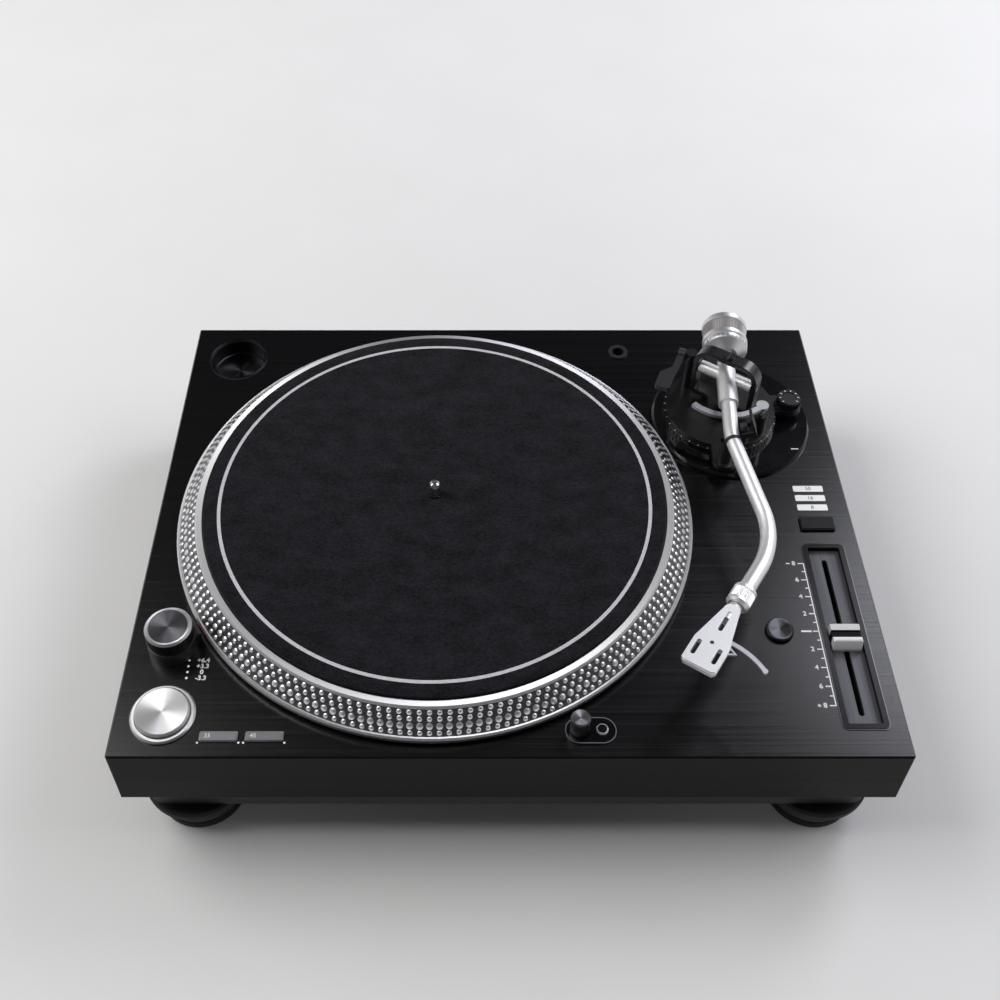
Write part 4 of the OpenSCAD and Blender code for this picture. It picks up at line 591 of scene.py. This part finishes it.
mat_low, mat_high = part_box("slipmat")
mat_r = (mat_high.x - mat_low.x) / 2
HOLE_R = 3.9 * MM
RING_COUNT = 26
felt_floor = mat_low.z - 0.22 * MM
mat_middle = (spindle_spot.x, spindle_spot.y, felt_floor)
fresh_start()
bpy.ops.mesh.primitive_circle_add(vertices=180, radius=HOLE_R, location=mat_middle)
felt = bpy.context.object
felt.name = "slipmat_felt"
bpy.ops.object.transform_apply(location=True, rotation=True, scale=True)
bpy.ops.object.mode_set(mode="EDIT")
bpy.ops.mesh.select_all(action="SELECT")
now = HOLE_R
for step in range(1, RING_COUNT + 1):
    wider = HOLE_R + (mat_r - HOLE_R) * step / RING_COUNT
    bpy.ops.mesh.extrude_region()
    bpy.ops.transform.resize(value=(wider / now, wider / now, 1), center_override=mat_middle)
    now = wider
bpy.ops.mesh.select_all(action="SELECT")
bpy.ops.mesh.normals_make_consistent(inside=False)
bpy.ops.object.mode_set(mode="OBJECT")
if felt.data.polygons[0].normal.z < 0:
    felt.data.flip_normals()
thickness = felt.modifiers.new("felt_thickness", "SOLIDIFY")
thickness.thickness = mat_high.z - mat_low.z
thickness.offset = 1.0
soft_edge = felt.modifiers.new("soft_edge", "BEVEL")
soft_edge.width = 0.5 * MM
soft_edge.segments = 2
soft_edge.limit_method = "ANGLE"
nap = felt.modifiers.new("nap", "DISPLACE")
nap.texture = bpy.data.textures.new("nap_cloud", "CLOUDS")
nap.texture.noise_scale = 0.012
nap.strength = 0.12 * MM
apply_modifiers(felt)
bpy.ops.object.shade_smooth_by_angle(angle=math.radians(40))
print("felt", round(felt.dimensions.x, 4), "m across,", len(felt.data.polygons), "faces")

# %% Felt finish
LINE_FROM, LINE_TO = 136.5 * MM, 138.7 * MM
felt_constants = {"Specular IOR Level": 0.08, "Sheen Weight": 0.05, "Sheen Roughness": 0.6}
felt_finish = Finish("charcoal_felt", felt_constants)
on_mat = place(felt_finish, axis)
mat_radius = from_axis(felt_finish, on_mat)
fibre = grain(felt_finish, on_mat, 520, (1, 1.5, 1), 5.0)
patch = grain(felt_finish, on_mat, 60, (1, 1.6, 1), 4.0)
line = (mat_radius > LINE_FROM) * (mat_radius < LINE_TO)
mottle = 3.2 * (0.6 * fibre + 0.4 * patch) - 1.1
charcoal = blend(felt_finish, mottle, paint(3, 3, 5), paint(31, 30, 36))
pale = blend(felt_finish, fibre, paint(156, 156, 160), paint(204, 204, 207))
felt_finish.feed(base_color=blend(felt_finish, line, charcoal, pale), roughness=0.88 + 0.1 * fibre)
relief(felt_finish, fibre, 0.0002, 0.7)
felt.data.materials.append(felt_finish.material)
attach(felt, "slipmat")
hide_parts("slipmat")

# %% [markdown]
# ## Strobe dots
# Four rows of raised dots circle the platter's slope. Under a lamp that flickers with the mains, a row
# stands still when the platter runs at that row's speed, so each row has its own number of dots: 180
# stand still at the set speed, fewer when the platter runs fast, more when it runs slow. One dot is the
# cap of a small ball, and an Array turned about the spindle makes the row.

# %% Rows of dots
def turned_copies(piece, count, step, centre, about):
    fresh_start()
    piece.select_set(True)
    bpy.context.view_layer.objects.active = piece
    bpy.context.scene.cursor.location = centre
    bpy.ops.object.origin_set(type="ORIGIN_CURSOR")
    turner = bpy.data.objects.new("turner", None)
    bpy.context.scene.collection.objects.link(turner)
    turner.location = centre
    turner.rotation_mode = "AXIS_ANGLE"
    turner.rotation_axis_angle = (step, *about)
    bpy.context.view_layer.update()
    copies = piece.modifiers.new("turned_copies", "ARRAY")
    copies.use_relative_offset = False
    copies.use_object_offset = True
    copies.offset_object = turner
    copies.count = count
    bpy.ops.object.modifier_apply(modifier=copies.name)
    bpy.data.objects.remove(turner)
    bpy.ops.object.transform_apply(location=True, rotation=True, scale=True)


dot_metal = Finish("dot_metal", {"Metallic": 1.0})
dot_cloud = grain(dot_metal, place(dot_metal), 600)
dot_metal.feed(base_color=blend(dot_metal, dot_cloud, paint(228, 228, 230), paint(246, 246, 247)),
               roughness=0.3 + 0.1 * dot_cloud)
SLOPE_TOP_Z, SLOPE_RUN = 118.5 * MM, 11.0 * MM
SLOPE_TURN = math.radians(45)
DOT_RISE, DOT_ROOT = 0.4 * MM, 0.1 * MM


def dot_row(name, share, width, count):
    ground_r = SLOPE_R + SLOPE_RUN * share
    ground_z = SLOPE_TOP_Z - SLOPE_RUN * share
    ball_r = ((width / 2) ** 2 + DOT_RISE ** 2) / (2 * DOT_RISE)
    fresh_start()
    bpy.ops.mesh.primitive_uv_sphere_add(segments=12, ring_count=14, radius=ball_r)
    row = bpy.context.object
    row.name = name
    bpy.ops.object.mode_set(mode="EDIT")
    bpy.ops.mesh.select_all(action="SELECT")
    cut_z = ball_r - DOT_RISE - DOT_ROOT
    bpy.ops.mesh.bisect(plane_co=(0, 0, cut_z), plane_no=(0, 0, 1), clear_inner=True)
    bpy.ops.mesh.select_all(action="SELECT")
    bpy.ops.transform.translate(value=(0, 0, DOT_RISE - ball_r))
    bpy.ops.object.mode_set(mode="OBJECT")
    row.rotation_euler = (SLOPE_TURN, 0, 0)
    row.location = (spindle_spot.x, spindle_spot.y - ground_r, ground_z)
    bpy.ops.object.transform_apply(location=True, rotation=True, scale=True)
    bpy.ops.object.shade_smooth()
    turned_copies(row, count, 2 * math.pi / count, (spindle_spot.x, spindle_spot.y, 0), (0, 0, 1))
    row.data.materials.append(dot_metal.material)
    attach(row, "platter")
    print(name, count, "dots,", len(row.data.polygons), "faces")


dot_row("strobe_dots_fast", 0.13, 2.9 * MM, 169)
dot_row("strobe_dots_quick", 0.36, 2.9 * MM, 174)
dot_row("strobe_dots_even", 0.62, 3.8 * MM, 180)
dot_row("strobe_dots_slow", 0.87, 2.9 * MM, 186)

# %% [markdown]
# ## Printed scales
# Print on a panel is a film of ink a few hundredths of a millimetre thick. A pattern in the lacquer could
# draw it, but figures are hard to write in nodes. Thin pieces of mesh laid on the panel are crisper:
# planes for strokes, text for figures, each made solid by the thickness of the ink.

# %% Ink helpers
INK = 0.03 * MM
LIFT = 0.02 * MM
DECK = 100 * MM


def stroke(x, y, z, wide, deep, turn=0.0):
    fresh_start()
    bpy.ops.mesh.primitive_plane_add(size=1, location=(x * MM, y * MM, z), rotation=(0, 0, turn))
    mark = bpy.context.object
    mark.scale = (wide * MM, deep * MM, 1)
    bpy.ops.object.transform_apply(location=True, rotation=True, scale=True)
    return mark


def figure(words, size, x, y, z, heavy=0.02):
    fresh_start()
    bpy.ops.object.text_add()
    mark = bpy.context.object
    mark.data.body = words
    mark.data.size = size * MM
    mark.data.offset = heavy * size * MM
    mark.data.align_x = "CENTER"
    mark.data.align_y = "CENTER"
    bpy.ops.object.convert(target="MESH")
    mark = bpy.context.object
    mark.location = (x * MM, y * MM, z)
    bpy.ops.object.transform_apply(location=True, rotation=True, scale=True)
    return mark


def print_on(name, marks, finish, body):
    fresh_start()
    for mark in marks:
        mark.select_set(True)
    bpy.context.view_layer.objects.active = marks[0]
    bpy.ops.object.join()
    piece = bpy.context.object
    piece.name = name
    piece.data.materials.clear()
    film = piece.modifiers.new("ink_film", "SOLIDIFY")
    film.thickness = INK
    film.offset = 1.0
    apply_modifiers(piece)
    piece.data.materials.append(finish.material)
    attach(piece, body)
    print(name, "of", len(marks), "marks on", body)


def ink(name, dark, light):
    finish = Finish(name, {"Specular IOR Level": 0.3})
    screen = grain(finish, place(finish), 2500, detail=2.0)
    finish.feed(base_color=blend(finish, screen, paint(*dark), paint(*light)),
                roughness=0.45 + 0.2 * screen)
    return finish


white_ink = ink("white_ink", (226, 226, 226), (244, 244, 244))
grey_ink = ink("grey_ink", (196, 197, 200), (214, 215, 217))
dark_ink = ink("dark_ink", (22, 22, 25), (40, 40, 44))

# %% [markdown]
# ### Pitch scale
# The scale stands left of the fader: one upright line, a stroke for each per cent, a longer one for each
# even per cent with its figure, and a heavy dash at zero. Minus is at the far end and plus at the near end.

# %% Pitch scale
SCALE_HALF, SCALE_UNITS, THIN = 50.55, 8, 0.7
LINE_X, FIGURE_X, DASH_X, MINUS_X, PLUS_X = 188.2, 182.0, 180.6, 178.4, 178.6
LONG_TICK, SHORT_TICK, TICK_END_X = 3.4, 2.0, 188.0
PLUS_SIZE = 2.1
PER_CENT = SCALE_HALF / SCALE_UNITS
fader_middle = middle("fader_tray").y / MM
far_end = fader_middle + SCALE_UNITS * PER_CENT
near_end = fader_middle - SCALE_UNITS * PER_CENT
above_panel = DECK + LIFT
marks = [stroke(LINE_X, fader_middle, above_panel, THIN, 2 * SCALE_HALF + THIN)]
for unit in range(-SCALE_UNITS, SCALE_UNITS + 1):
    y = fader_middle - unit * PER_CENT
    length = LONG_TICK if unit % 2 == 0 else SHORT_TICK
    marks.append(stroke(TICK_END_X - length / 2, y, above_panel, length, THIN))
    if unit % 2 == 0 and unit != 0:
        marks.append(figure(str(abs(unit)), 4.4, FIGURE_X, y, above_panel, heavy=0.03))
marks.append(stroke(DASH_X, fader_middle, above_panel, 6.2, 1.2))
marks.append(stroke(MINUS_X, far_end, above_panel, 2.4, THIN))
marks.append(stroke(PLUS_X, near_end, above_panel, PLUS_SIZE, THIN))
marks.append(stroke(PLUS_X, near_end, above_panel, THIN, PLUS_SIZE))
print_on("pitch_scale", marks, white_ink, "plinth")

# %% [markdown]
# ### Figures by the controls
# A small table of figures beside the strobe says which row of dots stands still at which speed. The speed
# buttons carry their own figures, the three windows theirs in dark ink, and short strokes mark the lower
# corners of the speed buttons.

# %% Control figures
TABLE_TOP_Y, TABLE_STEP = -113.6, 4.0
TABLE_FIGURE_X, TABLE_DOT_X = -180.2, -188.6
DIAMOND = math.radians(45)
marks = []
for row, words in enumerate(["+6.4", "+3.3", "0", "-3.3"]):
    y = TABLE_TOP_Y - TABLE_STEP * row
    marks.append(figure(words, 4.2, TABLE_FIGURE_X, y, above_panel, heavy=0.03))
    marks.append(stroke(TABLE_DOT_X, y, above_panel, 1.3, 1.3, DIAMOND))
print_on("strobe_table", marks, white_ink, "plinth")
marks = []
for node in ("speed_33_button", "speed_45_button"):
    low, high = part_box(node)
    for x in (low.x / MM - 0.6, high.x / MM + 0.6):
        marks.append(stroke(x, low.y / MM - 0.5, above_panel, 1.1, 1.1))
print_on("speed_corner_marks", marks, white_ink, "plinth")
for node, words in (("speed_33_button", "33"), ("speed_45_button", "45")):
    low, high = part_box(node)
    number = figure(words, 3.6, low.x / MM + 4.6, middle(node).y / MM, high.z + LIFT)
    print_on("figures_" + words, [number], grey_ink, node)
window_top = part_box("range_windows")[1].z + LIFT
window_x = middle("range_windows").x / MM
window_words = (("8", 3.0), ("16", 11.0), ("50", 19.0))
marks = [figure(words, 3.9, window_x, y, window_top, heavy=0) for words, y in window_words]
print_on("window_figures", marks, dark_ink, "plinth")

# %% [markdown]
# ### Marks on the arm
# The arm's base carries an index dot and a dash, the anti-skate dial and the height ring a scale round their
# tops, and the force dial strokes round its rim, which are read against the top of the arm when the weight
# is set.

# %% Arm marks
flange_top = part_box("arm_flange")[1].z + LIFT
index_dot = stroke(153.0, 41.6, flange_top, 1.5, 1.5, DIAMOND)
index_dash = stroke(199.4, 51.7, flange_top, 5.0, 0.8)
marks = [index_dot, index_dash]
print_on("arm_base_marks", marks, white_ink, "plinth")
dial_spot = middle("anti_skate_dial")
dial_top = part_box("anti_skate_dial")[1].z + LIFT
DIAL_MARKS, DIAL_FIRST, DIAL_STEP, DIAL_MARK_R = 8, -130, 37, 6.2
marks = []
for step in range(DIAL_MARKS):
    turn = math.radians(DIAL_FIRST + DIAL_STEP * step)
    x = dial_spot.x / MM - DIAL_MARK_R * math.sin(turn)
    y = dial_spot.y / MM + DIAL_MARK_R * math.cos(turn)
    marks.append(stroke(x, y, dial_top, 0.45, 1.5, turn))
print_on("anti_skate_scale", marks, white_ink, "anti_skate_dial")

RING_MARKS, RING_MARK_R = 36, 38.2
pivot_point = Vector(PIVOT)
ring_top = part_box("height_ring")[1].z + LIFT
ring_tick = stroke(PIVOT[0] / MM, PIVOT[1] / MM - RING_MARK_R, ring_top, 0.4, 1.0)
turned_copies(ring_tick, RING_MARKS, 2 * math.pi / RING_MARKS, (PIVOT[0], PIVOT[1], 0), (0, 0, 1))
print_on("height_ring_scale", [ring_tick], white_ink, "height_ring")

force_low, force_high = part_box("force_dial")
force_r = (force_high.z - force_low.z) / 2
rear_turn = -math.atan2(REAR.x, REAR.y)
FORCE_MARK_BACK = 26.4 * MM


def rim_strokes(name, count, length, wide):
    spot = (pivot_point + REAR * FORCE_MARK_BACK) / MM
    tick = stroke(spot.x, spot.y, pivot_point.z + force_r + LIFT, wide, length, rear_turn)
    turned_copies(tick, count, 2 * math.pi / count, pivot_point, tuple(REAR))
    print_on(name, [tick], dark_ink, "force_dial")


rim_strokes("force_strokes", 30, 1.8, 0.35)
rim_strokes("force_long_strokes", 6, 3.4, 0.5)

# %% [markdown]
# ## Small screws
# Two screw heads are left to this file, the ones that hold the terminal plate at the back. A head is
# turned from a cylinder with a bevelled rim, and a bar cuts its slot. A picture of a screw would look flat
# from the side, and the slot is what makes the size of the plate readable.

# %% Slotted screws
def screw_head(name, radius, rise, spot, facing, body):
    fresh_start()
    bpy.ops.mesh.primitive_cylinder_add(vertices=28, radius=radius, depth=rise)
    head = bpy.context.object
    head.name = name
    rim = head.modifiers.new("rim", "BEVEL")
    rim.width = rise * 0.35
    rim.segments = 3
    rim.limit_method = "ANGLE"
    apply_modifiers(head)
    fresh_start()
    bpy.ops.mesh.primitive_cube_add(size=1, location=(0, 0, rise / 2))
    bar = bpy.context.object
    bar.scale = (radius * 0.28, radius * 3, rise * 0.9)
    bpy.ops.object.transform_apply(location=True, rotation=True, scale=True)
    slot = head.modifiers.new("slot", "BOOLEAN")
    slot.object = bar
    slot.operation = "DIFFERENCE"
    slot.solver = "EXACT"
    apply_modifiers(head)
    bpy.data.objects.remove(bar)
    fresh_start()
    head.select_set(True)
    bpy.context.view_layer.objects.active = head
    head.rotation_euler = Vector(facing).to_track_quat("Z", "Y").to_euler()
    head.location = Vector(spot) + Vector(facing) * rise / 2
    bpy.ops.object.transform_apply(location=True, rotation=True, scale=True)
    bpy.ops.object.shade_smooth_by_angle(angle=math.radians(35))
    head.data.materials.append(steel.material)
    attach(head, body)


plate_low, plate_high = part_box("terminal_plate")
for side, x in (("left", plate_low.x + 5 * MM), ("right", plate_high.x - 4.2 * MM)):
    spot = (x, plate_high.y + LIFT, middle("terminal_plate").z)
    screw_head("terminal_screw_" + side, 2.4 * MM, 1.2 * MM, spot, (0, 1, 0), "plinth")
print("terminal screws set")
